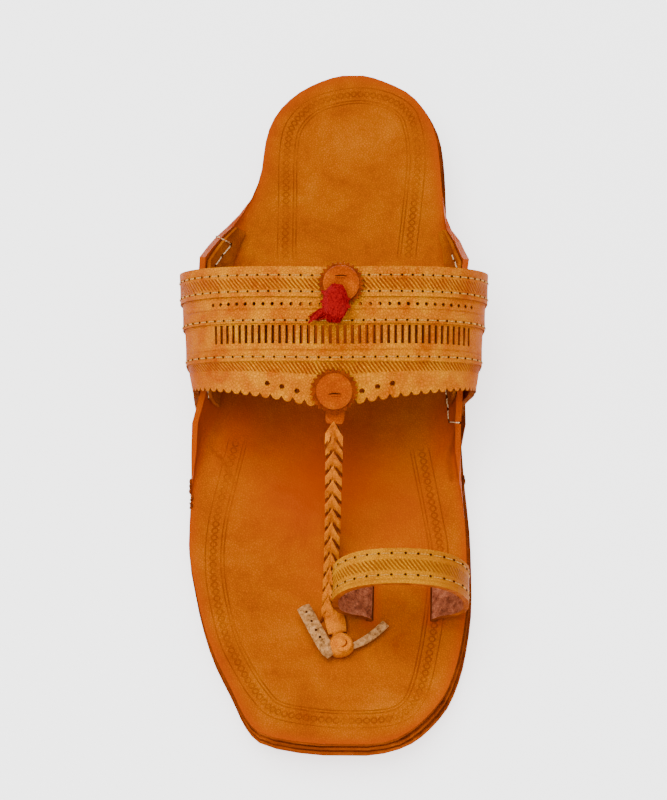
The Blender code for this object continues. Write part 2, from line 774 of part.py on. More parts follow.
def disc_rings(radius, rim, dome):
    """Rings of a domed disc, bottom to top."""
    steps = 3
    rings = [(radius, 0.0), (radius, rim)]
    for k in range(1, steps + 1):
        turn = math.pi / 2 * k / (steps + 0.4)
        rings.append((radius * math.cos(turn), rim + dome * math.sin(turn)))
    return rings


def build_rosettes(parts, materials):
    """Two toothed rings with a domed disc on each."""
    for name, place in (("front", FRONT_ROSETTE), ("rear", REAR_ROSETTE)):
        frame = rosette_frame(place, 0)
        outline = []
        for k in range(2 * TOOTH_COUNT):
            turn = math.pi * k / TOOTH_COUNT
            radius = RING_RADIUS - TOOTH_DEPTH * (k % 2)
            outline.append((radius * math.cos(turn), radius * math.sin(turn)))
        ring = bmesh.new()
        add_prism(ring, outline, frame, 0, RING_THICK)
        make_object(f"rosette_{name}_ring", ring, materials["strap"], parts)
        frame = rosette_frame(place, RING_THICK + CLEARANCE)
        rings = []
        for radius, height in disc_rings(DISC_RADIUS, DISC_RIM, DISC_DOME):
            rings.append([frame @ Vector((x, y, height)) for x, y in round_outline(radius, DISC_SIDES)])
        make_object(f"rosette_{name}_disc", loft(rings), materials["strap"], parts)


def insole_height(along):
    """Height of the insole's upper face over the floor."""
    return rise(along) + INSOLE_TOP


def build_toe_loop(parts, materials):
    """The band over the big toe, from slit to slit."""
    across = column(LOOP_ROWS, LOOP_COLUMNS, "across")
    up = column(LOOP_ROWS, LOOP_COLUMNS, "up")
    top = insole_height(LOOP_ALONG)
    slit = SLIT_SPACING / 2
    half = [(slit, rise(LOOP_ALONG) + INSOLE_BASE), (slit, top + LOOP_THICK / 4)]
    half += [(a * LOOP_HALF_WIDTH, top + u * LOOP_HEIGHT) for a, u in zip(across, up)]
    path = [(-x, z) for x, z in half] + [(x, z) for x, z in half[-2::-1]]
    middle = smooth_points([Vector((x, z, 0)) for x, z in path], LOOP_SAMPLES)
    rings = []
    for k, point in enumerate(middle):
        before, after = middle[max(0, k - 1)], middle[min(len(middle) - 1, k + 1)]
        run = (after - before).normalized()
        if k in (0, len(middle) - 1):
            run = Vector((0, 1 if k == 0 else -1, 0))
        out = Vector((-run.y, run.x, 0)) * LOOP_THICK / 2
        ring = []
        for shift, y in ((out, -1), (out, 1), (-out, 1), (-out, -1)):
            place = point + shift
            ring.append(Vector((LOOP_CENTRE + place.x, y_at(LOOP_ALONG) + y * LOOP_BAND / 2, place.y)))
        rings.append(ring)
    make_object("toe_loop", loft(rings), materials["loop"], parts)


def braid_path():
    """The braid's underside, from the strap's front edge to the toe, at even steps."""
    start = STRAP_FRONT + SCALLOP_DEPTH
    low = insole_height(BRAID_TOE) + CLEARANCE
    high = strap_point(0, 1).z - BRAID_HIGH
    run = column(BRAID_ROWS, BRAID_COLUMNS, "run")
    up = column(BRAID_ROWS, BRAID_COLUMNS, "up")
    points = []
    for r, u in zip(run, up):
        x = BRAID_X[0] + (BRAID_X[1] - BRAID_X[0]) * r
        points.append(Vector((x, y_at(start + (BRAID_TOE - start) * r), low + (high - low) * u)))
    return points


def frame_on_path(points, place):
    """Point and directions (to the toe's end, sideways, up) at a distance along a path."""
    lengths = [0.0]
    for before, after in zip(points, points[1:]):
        lengths.append(lengths[-1] + (after - before).length)
    place = min(lengths[-1], max(0.0, place))
    step = lengths[-1] / 200

    def at(length):
        return Vector([smooth_value(lengths, [p[axis] for p in points], length) for axis in range(3)])

    run = (at(min(lengths[-1], place + step)) - at(max(0.0, place - step))).normalized()
    sideways = run.cross(Vector((0, 0, 1))).normalized()
    return at(place), run, sideways, sideways.cross(run)


def path_length(points):
    """Length of a path of straight runs."""
    return sum((after - before).length for before, after in zip(points, points[1:]))


def build_braid(parts, materials):
    """The plait: chevron rings along its path, high and low in turn, so the strips stand up."""
    points = braid_path()
    total = path_length(points)
    lead = BRAID_TOP_WIDTH / 2 * BRAID_SLOPE
    count = int((total - lead) / BRAID_PITCH)
    pitch = (total - lead) / count
    profile = ((0.0, BRAID_LOW), (0.28, BRAID_HIGH), (0.80, BRAID_HIGH * 0.9))
    marks = [(k + share, high) for k in range(count) for share, high in profile] + [(count, BRAID_LOW)]
    rings = []
    for mark, high in marks:
        share = mark / count
        half = (BRAID_TOP_WIDTH + (BRAID_TOE_WIDTH - BRAID_TOP_WIDTH) * share) / 2
        wide = half if high > BRAID_LOW else half * 0.86
        ring = []
        corners = ((-1, 0.3), (-0.55, 0.86), (0, 1), (0.55, 0.86), (1, 0.3), (0.7, 0), (-0.7, 0))
        for across, up in corners:
            place = mark * pitch + abs(across) * half * BRAID_SLOPE
            point, _, sideways, upward = frame_on_path(points, place)
            ring.append(point + sideways * across * wide + upward * up * high)
        rings.append(ring)
    make_object("braid", loft(rings), materials["strap"], parts)


def knot_mesh():
    """The knot: a plain thong that runs into a flat roll."""
    x, along = KNOT_PLACE
    base = insole_height(along) + 2.6 * CLEARANCE
    made = bmesh.new()
    sides = 16
    rows = ((0.72, 0.0), (1.0, 0.28), (1.0, 0.62), (0.8, 0.9), (0.42, 1.0))
    rings = []
    for share, up in rows:
        ring = []
        for k in range(sides):
            turn = 2 * math.pi * k / sides
            radius = KNOT_RADIUS * share * (1 + 0.05 * math.cos(3 * turn + 2 * up))
            ring.append(made.verts.new(
                (x + radius * math.cos(turn), y_at(along) + radius * math.sin(turn), base + up * KNOT_HEIGHT)))
        rings.append(ring)
    for first, second in zip(rings, rings[1:]):
        for k in range(sides):
            after = (k + 1) % sides
            made.faces.new((first[k], first[after], second[after], second[k]))
    made.faces.new(rings[0][::-1])
    made.faces.new(rings[-1])
    return made


def build_knot(parts, cutters, materials):
    """The knot with the plain thong that leads to it from the braid, and its two tails."""
    knot = make_object("thong_knot", knot_mesh(), materials["strap"], parts)
    x, along = KNOT_PLACE
    base = insole_height(along) + CLEARANCE
    start = braid_path()[-1]
    thong = bmesh.new()
    rings = []
    overlap = KNOT_RADIUS * 0.5
    for share in (0.0, 0.33, 0.67, 1.0):
        end_y = y_at(along) + overlap
        y = start.y - CLEARANCE + (end_y - start.y + CLEARANCE) * share
        middle = start.x + (x - start.x) * share
        low = start.z + (base + CLEARANCE - start.z) * share
        half = THONG_WIDTH / 2
        corners = ((-half, 0), (half, 0), (half * 0.8, THONG_THICK), (-half * 0.8, THONG_THICK))
        rings.append([Vector((middle + dx, y, low + dz)) for dx, dz in corners])
    thong.free()
    joined = make_object("thong_run", loft(rings), None, cutters)
    hide_cutter(joined)
    add_boolean(knot, joined, "UNION")
    for row in TAIL_ROWS:
        tail = dict(zip(TAIL_COLUMNS, row))
        build_tail(tail, parts, materials)


def build_tail(tail, parts, materials):
    """One of the knot's ends, lying beside it and rising a little to its tip."""
    start = Vector((tail["start_x"], y_at(tail["start_along"]), 0))
    end = Vector((tail["end_x"], y_at(tail["end_along"]), 0))
    run = (end - start).normalized()
    sideways = Vector((-run.y, run.x, 0))
    rings = []
    steps = 5
    for k in range(steps + 1):
        share = k / steps
        point = start + (end - start) * share
        low = insole_height(LENGTH / 2 - point.y) + CLEARANCE * 2 + tail["lift"] * share**2
        half = tail["width"] / 2 * (0.82 + 0.18 * math.sin(math.pi * share))
        thick = tail["thick"]
        corners = ((-half, 0.15), (-half * 0.6, 0), (half * 0.6, 0), (half, 0.15), (half, 0.8),
                   (half * 0.5, 1), (-half * 0.5, 1), (-half, 0.8))
        rings.append([point + sideways * dx + Vector((0, 0, low + dz * thick)) for dx, dz in corners])
    make_object(tail["name"], loft(rings), materials["rawhide"], parts)


def add_lock(mesh_data, root, direction, length, width):
    """Add one tapered lock of wool as a closed five-sided spike with a bend."""
    side = direction.orthogonal().normalized()
    other = direction.cross(side)
    droop = Vector((0, 0, -0.25 * length))
    rings = []
    for share, wide in ((0.0, 1.0), (0.55, 0.8), (1.0, 0.3)):
        centre = root + direction * length * share + droop * share**2
        ring = []
        for k in range(5):
            turn = 2 * math.pi * k / 5
            offset = (side * math.cos(turn) + other * math.sin(turn)) * width / 2 * wide
            ring.append(mesh_data.verts.new(centre + offset))
        rings.append(ring)
    for first, second in zip(rings, rings[1:]):
        for k in range(5):
            after = (k + 1) % 5
            mesh_data.faces.new((first[k], first[after], second[after], second[k]))
    mesh_data.faces.new(rings[0][::-1])
    mesh_data.faces.new(rings[-1])


def blunted(point):
    """Move a point of the tuft's ball outwards along its length, so that the ball's ends are blunt."""
    share = point.z / POMPOM_RADIUS
    wide = (1 - abs(share) ** 3) / max(1e-6, math.sqrt(1 - min(1.0, share * share)))
    wide = min(1.6, wide)
    return Vector((point.x * wide, point.y * wide, point.z))


def build_pompom(parts, cutters, materials):
    """The wool tuft: a soft body with locks fused on, trimmed clear of the rosette and the strap."""
    frame = rosette_frame(REAR_ROSETTE, RING_THICK + CLEARANCE)
    centre = frame @ Vector(POMPOM_PLACE)
    to_heel = frame.to_3x3() @ Vector((0, 1, 0))
    body = bmesh.new()
    bmesh.ops.create_uvsphere(body, u_segments=14, v_segments=9, radius=POMPOM_RADIUS)
    for corner in body.verts:
        corner.co = blunted(corner.co)
    turned = Vector((0, 0, 1)).rotation_difference(to_heel).to_matrix().to_4x4()
    stretch = Matrix.Diagonal((1, 1, POMPOM_LENGTH / (2 * POMPOM_RADIUS), 1))
    body.transform(Matrix.Translation(centre) @ turned @ stretch)
    pompom = make_object("pompom", body, materials["wool"], parts)
    locks = bmesh.new()
    golden = math.pi * (3 - math.sqrt(5))
    for k in range(POMPOM_LOCKS):
        height = 1 - 2 * (k + 0.5) / POMPOM_LOCKS
        reach = math.sqrt(1 - height * height)
        spread = Vector((reach * math.cos(golden * k), reach * math.sin(golden * k), height))
        direction = turned.to_3x3() @ spread
        root = centre + (turned @ stretch).to_3x3() @ spread * POMPOM_RADIUS * 0.62
        length = POMPOM_RADIUS * (0.62 + 0.14 * math.sin(5 * k))
        add_lock(locks, root, direction, length, LOCK_WIDTH)
    strand = (frame.to_3x3() @ Vector(STRAND)).normalized()
    add_lock(locks, centre + strand * POMPOM_RADIUS * 0.5, strand, STRAND_LENGTH, LOCK_WIDTH)
    lock_body = make_object("pompom_locks", locks, None, cutters)
    hide_cutter(lock_body)
    add_boolean(pompom, lock_body, "UNION")
    pompom.modifiers[-1].use_self = True
    trim_pompom(pompom, frame, cutters)


def trim_pompom(pompom, frame, cutters):
    """Cut the tuft by the rosette and the strap, each grown by the clearance."""
    grown = bmesh.new()
    outline = round_outline(DISC_RADIUS + CLEARANCE, DISC_SIDES)
    rings = []
    for radius, height in disc_rings(DISC_RADIUS + CLEARANCE, DISC_RIM + CLEARANCE, DISC_DOME):
        rings.append([frame @ Vector((x, y, height)) for x, y in round_outline(radius, DISC_SIDES)])
    grown.free()
    disc = make_object("pompom_disc_cutter", loft(rings), None, cutters)
    base = bmesh.new()
    wide = RING_RADIUS + CLEARANCE
    outline = round_outline(wide, DISC_SIDES)
    add_prism(base, outline, frame, -3 * RING_THICK, 0)
    ring = make_object("pompom_ring_cutter", base, None, cutters)
    floor = bmesh.new()
    reach = 3 * POMPOM_LENGTH
    corners = [(-reach, -reach), (reach, -reach), (reach, reach), (-reach, reach)]
    low = rosette_frame(REAR_ROSETTE, 0)
    add_prism(floor, corners, low, -reach, 0)
    ground = make_object("pompom_floor_cutter", floor, None, cutters)
    for cutter in (disc, ring, ground):
        hide_cutter(cutter)
        add_boolean(pompom, cutter, "DIFFERENCE")


def build_tongue(parts, materials):
    """The pointed tongue that comes from under the strap's rear edge and hangs down."""
    reach = REAR_ROSETTE[0] / (STRAP_REAR_WIDTH / 2) * 2 / math.pi * (1 - LEG_SHARE)
    frame = strap_frame(reach, 0.04)
    start = frame @ Vector((0, 0, -4 * CLEARANCE - TONGUE_THICK / 2))
    out, down, wide = (column(TONGUE_ROWS, TONGUE_COLUMNS, name) for name in TONGUE_COLUMNS)
    path = [start + Vector((0, o, -d)) * TONGUE_SIZE for o, d in zip(out, down)]
    seat = start + frame.to_3x3() @ Vector((0, -TONGUE_SEAT, 0))
    path.insert(0, seat)
    rings = []
    for k, point in enumerate(path):
        run = path[min(k + 1, len(path) - 1)] - path[max(k - 1, 0)]
        up = Vector((0, -run.z, run.y)).normalized() * TONGUE_THICK / 2
        half = TONGUE_WIDTH / 2 * wide[max(0, k - 1)]
        rings.append([point + Vector((half * dx, 0, 0)) + up * dz for dx, dz in ((-1, -1), (1, -1), (1, 1), (-1, 1))])
    make_object("tongue_tip", loft(rings), materials["lining"], parts)


def centre_on_origin(parts, cutters):
    """Move everything so that the origin is under the middle of the sandal's length and width."""
    corners = [corner.co for made in parts.objects for corner in made.data.vertices]
    shift = Vector((0, 0, 0))
    for axis in (0, 1):
        values = [corner[axis] for corner in corners]
        shift[axis] = -(min(values) + max(values)) / 2
    for made in [*parts.objects, *cutters.objects]:
        made.data.transform(Matrix.Translation(shift))


def main():
    """Build the sandal."""
    clear_scene()
    parts = make_collection("kolhapuri_sandal")
    cutters = make_collection("cutters")
    materials = {
        "insole": make_material("insole_leather", (0.57, 0.14, 0.008), 0.5),
        "strap": make_material("strap_leather", (0.68, 0.25, 0.02), 0.5),
        "loop": make_material("loop_leather", (0.70, 0.32, 0.03), 0.5),
        "edge": make_material("sole_edge_leather", (0.28, 0.05, 0.01), 0.6),
        "lining": make_material("pale_leather", (0.80, 0.50, 0.08), 0.6),
        "rawhide": make_material("rawhide", (0.70, 0.48, 0.25), 0.7),
        "wool": make_material("red_wool", (0.62, 0.005, 0.008), 0.9),
    }
    build_sole(parts, cutters, materials)
    build_ear_facings(parts, materials)
    build_upper(parts, cutters, materials)
    build_rosettes(parts, materials)
    build_toe_loop(parts, materials)
    build_braid(parts, materials)
    build_knot(parts, cutters, materials)
    build_pompom(parts, cutters, materials)
    build_tongue(parts, materials)
    centre_on_origin(parts, cutters)


main()
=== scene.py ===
"""One right-foot kolhapuri sandal in tooled buffalo leather, dressed over its solid frame.

Metres, +Z up, the toe at -Y and the big toe's side at +X. Marks are pixels of the photograph.
"""

import logging
import math
import random
from collections.abc import Callable, Mapping, Sequence
from dataclasses import dataclass, field
from enum import Enum
from typing import Any

import bpy
import numpy as np
from mathutils import Matrix, Vector
from mathutils.bvhtree import BVHTree
from mathutils.kdtree import KDTree


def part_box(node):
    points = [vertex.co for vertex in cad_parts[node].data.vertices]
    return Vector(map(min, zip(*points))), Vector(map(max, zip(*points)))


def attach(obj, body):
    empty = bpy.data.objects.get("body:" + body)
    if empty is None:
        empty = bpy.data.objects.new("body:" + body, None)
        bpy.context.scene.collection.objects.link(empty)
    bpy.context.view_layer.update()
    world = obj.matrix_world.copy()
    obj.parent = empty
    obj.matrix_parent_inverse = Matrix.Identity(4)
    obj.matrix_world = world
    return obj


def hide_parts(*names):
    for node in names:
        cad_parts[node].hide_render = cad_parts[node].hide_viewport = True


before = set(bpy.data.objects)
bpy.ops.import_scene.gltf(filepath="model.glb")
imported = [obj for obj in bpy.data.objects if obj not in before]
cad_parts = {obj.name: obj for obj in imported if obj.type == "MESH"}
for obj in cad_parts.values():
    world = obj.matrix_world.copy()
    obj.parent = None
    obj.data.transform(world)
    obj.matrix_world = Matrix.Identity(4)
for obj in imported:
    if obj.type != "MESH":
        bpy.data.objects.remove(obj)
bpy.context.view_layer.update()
LOG = logging.getLogger("sandal")
MM = 0.001
UP = Vector((0.0, 0.0, 1.0))
HEEL_TO_MIDDLE = 138.0 * MM

# The sole was measured from a line that lies this far from the middle of the whole shoe.
MEASURE_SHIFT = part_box("insole")[1].x - 41.2 * MM
# Measured places along the shoe count from its middle, positive to the toe, with the toe at -Y.
MEASURE_MIDDLE = -1.0 * MM

Pair = tuple[float, float]
Triple = tuple[float, float, float]
Stops = Sequence[tuple[float, Any]]
Material = bpy.types.Material
Piece = bpy.types.Object
Socket = bpy.types.NodeSocket


class Slot(Enum):
    """The record's material slots that the pieces take their finish from."""

    INSOLE = "insole"
    STRAP = "strap"
    LOOP = "loop"
    SOLE_EDGE = "sole_edge"
    LINING = "lining"
    RAWHIDE = "rawhide"
    WOOL = "wool"


class Side(Enum):
    """The two sides of the shoe, with their sign on X."""

    LATERAL = -1
    MEDIAL = 1


def linear(colour: str) -> tuple[float, float, float, float]:
    """Turns an sRGB hex colour, such as #A24A0D, to linear red, green, blue and alpha.

    Args:
        colour: six hex digits after a hash sign.

    Returns:
        The colour, as a colour socket takes it.
    """
    parts = [int(colour[k : k + 2], 16) / 255 for k in (1, 3, 5)]
    red, green, blue = (c / 12.92 if c <= 0.04045 else ((c + 0.055) / 1.055) ** 2.4 for c in parts)
    return red, green, blue, 1.0


def add_node(
    tree: bpy.types.NodeTree, kind: str, inputs: Mapping[Any, Any] | None = None, **settings: Any
) -> bpy.types.Node:
    """Adds a node to a material with its settings, values and links.

    Args:
        tree: the material's node tree.
        kind: the node's type name.
        inputs: for each input socket, a value or the socket that feeds it.
        settings: the node's own properties.

    Returns:
        The new node.
    """
    made = tree.nodes.new(kind)
    for name, value in settings.items():
        setattr(made, name, value)
    for socket, value in (inputs or {}).items():
        if isinstance(value, bpy.types.NodeSocket):
            tree.links.new(value, made.inputs[socket])
        else:
            made.inputs[socket].default_value = value
    return made


def set_ramp(node: bpy.types.Node, stops: Stops) -> Socket:
    """Gives a colour ramp its stops.

    Args:
        node: the colour ramp node.
        stops: place from 0 to 1, and a grey value or a hex colour.

    Returns:
        The ramp's colour output.
    """
    ramp = node.color_ramp
    while len(ramp.elements) > 1:
        ramp.elements.remove(ramp.elements[0])
    for k, (place, value) in enumerate(stops):
        stop = ramp.elements[0] if k == 0 else ramp.elements.new(place)
        stop.position = place
        stop.color = linear(value) if isinstance(value, str) else (value, value, value, 1.0)
    return node.outputs["Color"]


def start_material(name: str) -> tuple[Material, bpy.types.NodeTree, Socket]:
    """Makes an empty material.

    Args:
        name: the material's name.

    Returns:
        The material, its node tree and the piece's own coordinates.
    """
    dress = bpy.data.materials.new(name)
    dress.use_nodes = True
    tree = dress.node_tree
    tree.nodes.clear()
    return dress, tree, add_node(tree, "ShaderNodeTexCoord").outputs["Object"]


def measured(across: float, toward_toe: float) -> Pair:
    """Turns a place measured on the sole, in millimetres, to X and Y in metres."""
    return across * MM + MEASURE_SHIFT, MEASURE_MIDDLE - toward_toe * MM


def clear_selection() -> None:
    """Leaves edit mode and deselects everything."""
    if bpy.context.object and bpy.context.object.mode != "OBJECT":
        bpy.ops.object.mode_set(mode="OBJECT")
    bpy.ops.object.select_all(action="DESELECT")


def make_active(piece: Piece) -> None:
    """Selects one piece alone and makes it the active one.

    Args:
        piece: the piece.
    """
    clear_selection()
    piece.select_set(True)
    bpy.context.view_layer.objects.active = piece


def edit_mesh(change: Callable[..., Any], **settings: Any) -> None:
    """Runs one mesh operator on the whole of the active piece, in edit mode.

    Args:
        change: the operator.
        settings: its settings.
    """
    bpy.ops.object.mode_set(mode="EDIT")
    bpy.ops.mesh.select_all(action="SELECT")
    change(**settings)
    bpy.ops.object.mode_set(mode="OBJECT")


def apply_modifier(piece: Piece, kind: str, **settings: Any) -> None:
    """Gives a piece a modifier and applies it.

    Args:
        piece: the piece.
        kind: the modifier's type name.
        settings: its settings.
    """
    make_active(piece)
    change = piece.modifiers.new(kind.lower(), kind)
    for name, value in settings.items():
        setattr(change, name, value)
    bpy.ops.object.modifier_apply(modifier=change.name)


def finish_piece(piece: Piece, slot: Slot, dress: Material, stands_for: Sequence[str] = ()) -> None:
    """Dresses a piece, lets it ride on the shoe and reports it.

    Args:
        piece: the finished mesh.
        slot: the record's slot of its finish.
        dress: its material, where it has none of its own yet.
        stands_for: the solid nodes that it replaces.
    """
    if not piece.data.materials:
        piece.data.materials.append(dress)
    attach(piece, "root")
    if stands_for:
        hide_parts(*stands_for)
    LOG.info("%s: %d faces", piece.name, len(piece.data.polygons))


def worked_copy(node: str, name: str, angle: float = 40.0) -> Piece:
    """Copies a solid's mesh, closes its loose triangles and smooths its gentle edges.

    Args:
        node: the solid node.
        name: the copy's name.
        angle: edges sharper than this many degrees stay sharp.

    Returns:
        The copy, selected and active.
    """
    piece = bpy.data.objects.new(name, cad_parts[node].data.copy())
    piece.data.materials.clear()
    bpy.context.collection.objects.link(piece)
    make_active(piece)
    edit_mesh(bpy.ops.mesh.customdata_custom_splitnormals_clear)
    edit_mesh(bpy.ops.mesh.remove_doubles, threshold=2e-6)
    bpy.ops.object.shade_smooth_by_angle(angle=math.radians(angle))
    return piece


def join_pieces(pieces: Sequence[Piece], name: str) -> Piece:
    """Joins some pieces to one, which takes the name.

    Args:
        pieces: the pieces.
        name: the joined piece's name.

    Returns:
        The joined piece.
    """
    make_active(pieces[0])
    for piece in pieces:
        piece.select_set(True)
    bpy.ops.object.join()
    pieces[0].name = name
    return pieces[0]


def copies_of(master: Piece, places: Sequence[Matrix], name: str) -> Piece:
    """Copies a modelled master to each place, joins the copies to one piece and removes the master.

    Args:
        master: the piece that was modelled once.
        places: where each copy goes.
        name: the joined piece's name.

    Returns:
        The joined piece.
    """
    made = []
    for place in places:
        twin = master.copy()
        twin.data = master.data.copy()
        twin.data.transform(place)
        bpy.context.collection.objects.link(twin)
        made.append(twin)
    joined = join_pieces(made, name)
    bpy.data.objects.remove(master)
    return joined


def swept_cord(
    line: Sequence[Sequence[float]], radii: Sequence[float], name: str, roundness: int = 1
) -> Piece:
    """Draws a round cord along a line as a bevelled curve and makes it a mesh.

    Args:
        line: the middle line's points.
        radii: the cord's radius at each point.
        name: the piece's name.
        roundness: steps in a quarter of its section.

    Returns:
        The mesh piece.
    """
    curve = bpy.data.curves.new(name, "CURVE")
    curve.dimensions = "3D"
    curve.bevel_depth = 1.0
    curve.bevel_resolution = roundness
    curve.use_fill_caps = True
    spline = curve.splines.new("POLY")
    spline.points.add(len(line) - 1)
    for spot, place, radius in zip(spline.points, line, radii):
        spot.co = (*place, 1.0)
        spot.radius = radius
    piece = bpy.data.objects.new(name, curve)
    bpy.context.collection.objects.link(piece)
    make_active(piece)
    bpy.ops.object.convert(target="MESH")
    edit_mesh(bpy.ops.mesh.normals_make_consistent, inside=False)
    bpy.ops.object.shade_smooth()
    return bpy.context.object


def swelled(radius: float, count: int, thin: float) -> list[float]:
    """Gives a cord's radii, full in the middle and this share of the radius at its ends."""
    return [radius * (thin + (1 - thin) * math.sin(math.pi * k / (count - 1))) for k in range(count)]


def axes_at(place: Vector, run: Vector, outward: Vector) -> Matrix:
    """Makes the placing of a piece whose X runs along a seam and whose Z points outwards.

    Args:
        place: where it goes.
        run: the way along the seam.
        outward: the way out of the leather.

    Returns:
        The placing.
    """
    up = outward.normalized()
    ahead = (run - up * run.dot(up)).normalized()
    side = up.cross(ahead)
    return Matrix.Translation(place) @ Matrix((ahead, side, up)).transposed().to_4x4()


def ways_along(line: Sequence[Vector]) -> list[float]:
    """Measures the way from a line's start to each of its points.

    Args:
        line: the points.

    Returns:
        The ways, in metres.
    """
    ways = [0.0]
    for before, after in zip(line, line[1:]):
        ways.append(ways[-1] + (after - before).length)
    return ways


def index_at(ways: Sequence[float], way: float) -> int:
    """Finds the point that lies a way along a line, never the first or the last one."""
    return min(max(int(np.searchsorted(ways, way)), 1), len(ways) - 2)


def search_tree(places: Sequence[Vector]) -> KDTree:
    """Builds a search tree that finds the nearest of some places.

    Args:
        places: the places.

    Returns:
        The tree.
    """
    tree = KDTree(len(places))
    for k, place in enumerate(places):
        tree.insert(place, k)
    tree.balance()
    return tree


def store_chart(piece: Piece, name: str, rows: Any) -> None:
    """Keeps three numbers for each vertex in a named attribute."""
    layer = piece.data.attributes.new(name, "FLOAT_VECTOR", "POINT")
    layer.data.foreach_set("vector", np.asarray(rows, np.float32).ravel())


def dress_faces(piece: Piece, dresses: Sequence[Material], choose: Callable[[Any], int]) -> None:
    """Gives a piece several materials, and each face the one that is chosen for it.

    Args:
        piece: the piece.
        dresses: its materials.
        choose: picks a face's material, by its number.
    """
    for dress in dresses:
        piece.data.materials.append(dress)
    for face in piece.data.polygons:
        face.material_index = choose(face)


@dataclass
class Surface:
    """The outer skin of some solid nodes, for laying things on it."""

    nodes: tuple[str, ...]
    tree: BVHTree = field(init=False)

    def __post_init__(self) -> None:
        """Builds the search tree over all the nodes' triangles."""
        corners: list[Vector] = []
        faces: list[list[int]] = []
        for name in self.nodes:
            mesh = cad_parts[name].data
            start = len(corners)
            corners += [v.co.copy() for v in mesh.vertices]
            faces += [[start + k for k in p.vertices] for p in mesh.polygons]
        self.tree = BVHTree.FromPolygons(corners, faces)

    def hit(self, start: Vector, heading: Vector) -> tuple[Vector, Vector] | None:
        """Finds the place where a ray meets the skin and the way out of it, or None where it misses.

        Args:
            start: the ray's start.
            heading: its direction.

        Returns:
            The place and the outward normal, or None.
        """
        place, normal, _, _ = self.tree.ray_cast(start, heading.normalized())
        if place is None:
            return None
        return place, -normal if normal.dot(heading) > 0 else normal


@dataclass(frozen=True)
class PhotoView:
    """The photograph's camera beside this shoe, worked out from the sole's known size."""

    eye: Vector = Vector((0.0634, -0.5162, 1.1207))
    tilt: float = math.radians(25.0)
    focal: float = 3250.0
    width: int = 667
    height: int = 800
    shoe_middle: float = 163.5
    sensor: float = 36.0

    def directions(self) -> tuple[Vector, Vector, Vector]:
        """Gives the view's right, up and forward directions.

        Returns:
            The three directions.
        """
        up = Vector((0.0, math.cos(self.tilt), math.sin(self.tilt)))
        ahead = Vector((0.0, math.sin(self.tilt), -math.cos(self.tilt)))
        return Vector((1.0, 0.0, 0.0)), up, ahead

    def heading(self, across: float, down: float) -> Vector:
        """Gives the direction from the eye through a mark.

        Args:
            across: the mark's pixels from the left.
            down: its pixels from the top.

        Returns:
            The direction.
        """
        right, up, ahead = self.directions()
        sideways = (across - self.width / 2) / self.focal
        upward = (self.height / 2 - down) / self.focal
        return (ahead + right * sideways + up * upward).normalized()

    def build(self) -> None:
        """Makes the scene's camera, turned about its own upright so that this one shoe is in the middle."""
        right, up, ahead = self.directions()
        turn = math.atan((self.width / 2 - self.shoe_middle) / self.focal)
        aim = ahead * math.cos(turn) - right * math.sin(turn)
        clear_selection()
        bpy.ops.object.camera_add(location=self.eye)
        camera = bpy.context.object
        camera.name = "camera"
        camera.data.sensor_fit = "HORIZONTAL"
        camera.data.sensor_width = self.sensor
        camera.data.lens = self.sensor * self.focal / self.width
        camera.data.clip_end = 20.0
        axes = Matrix((aim.cross(up), up, -aim)).transposed().to_4x4()
        camera.matrix_world = Matrix.Translation(self.eye) @ axes
        bpy.context.scene.camera = camera


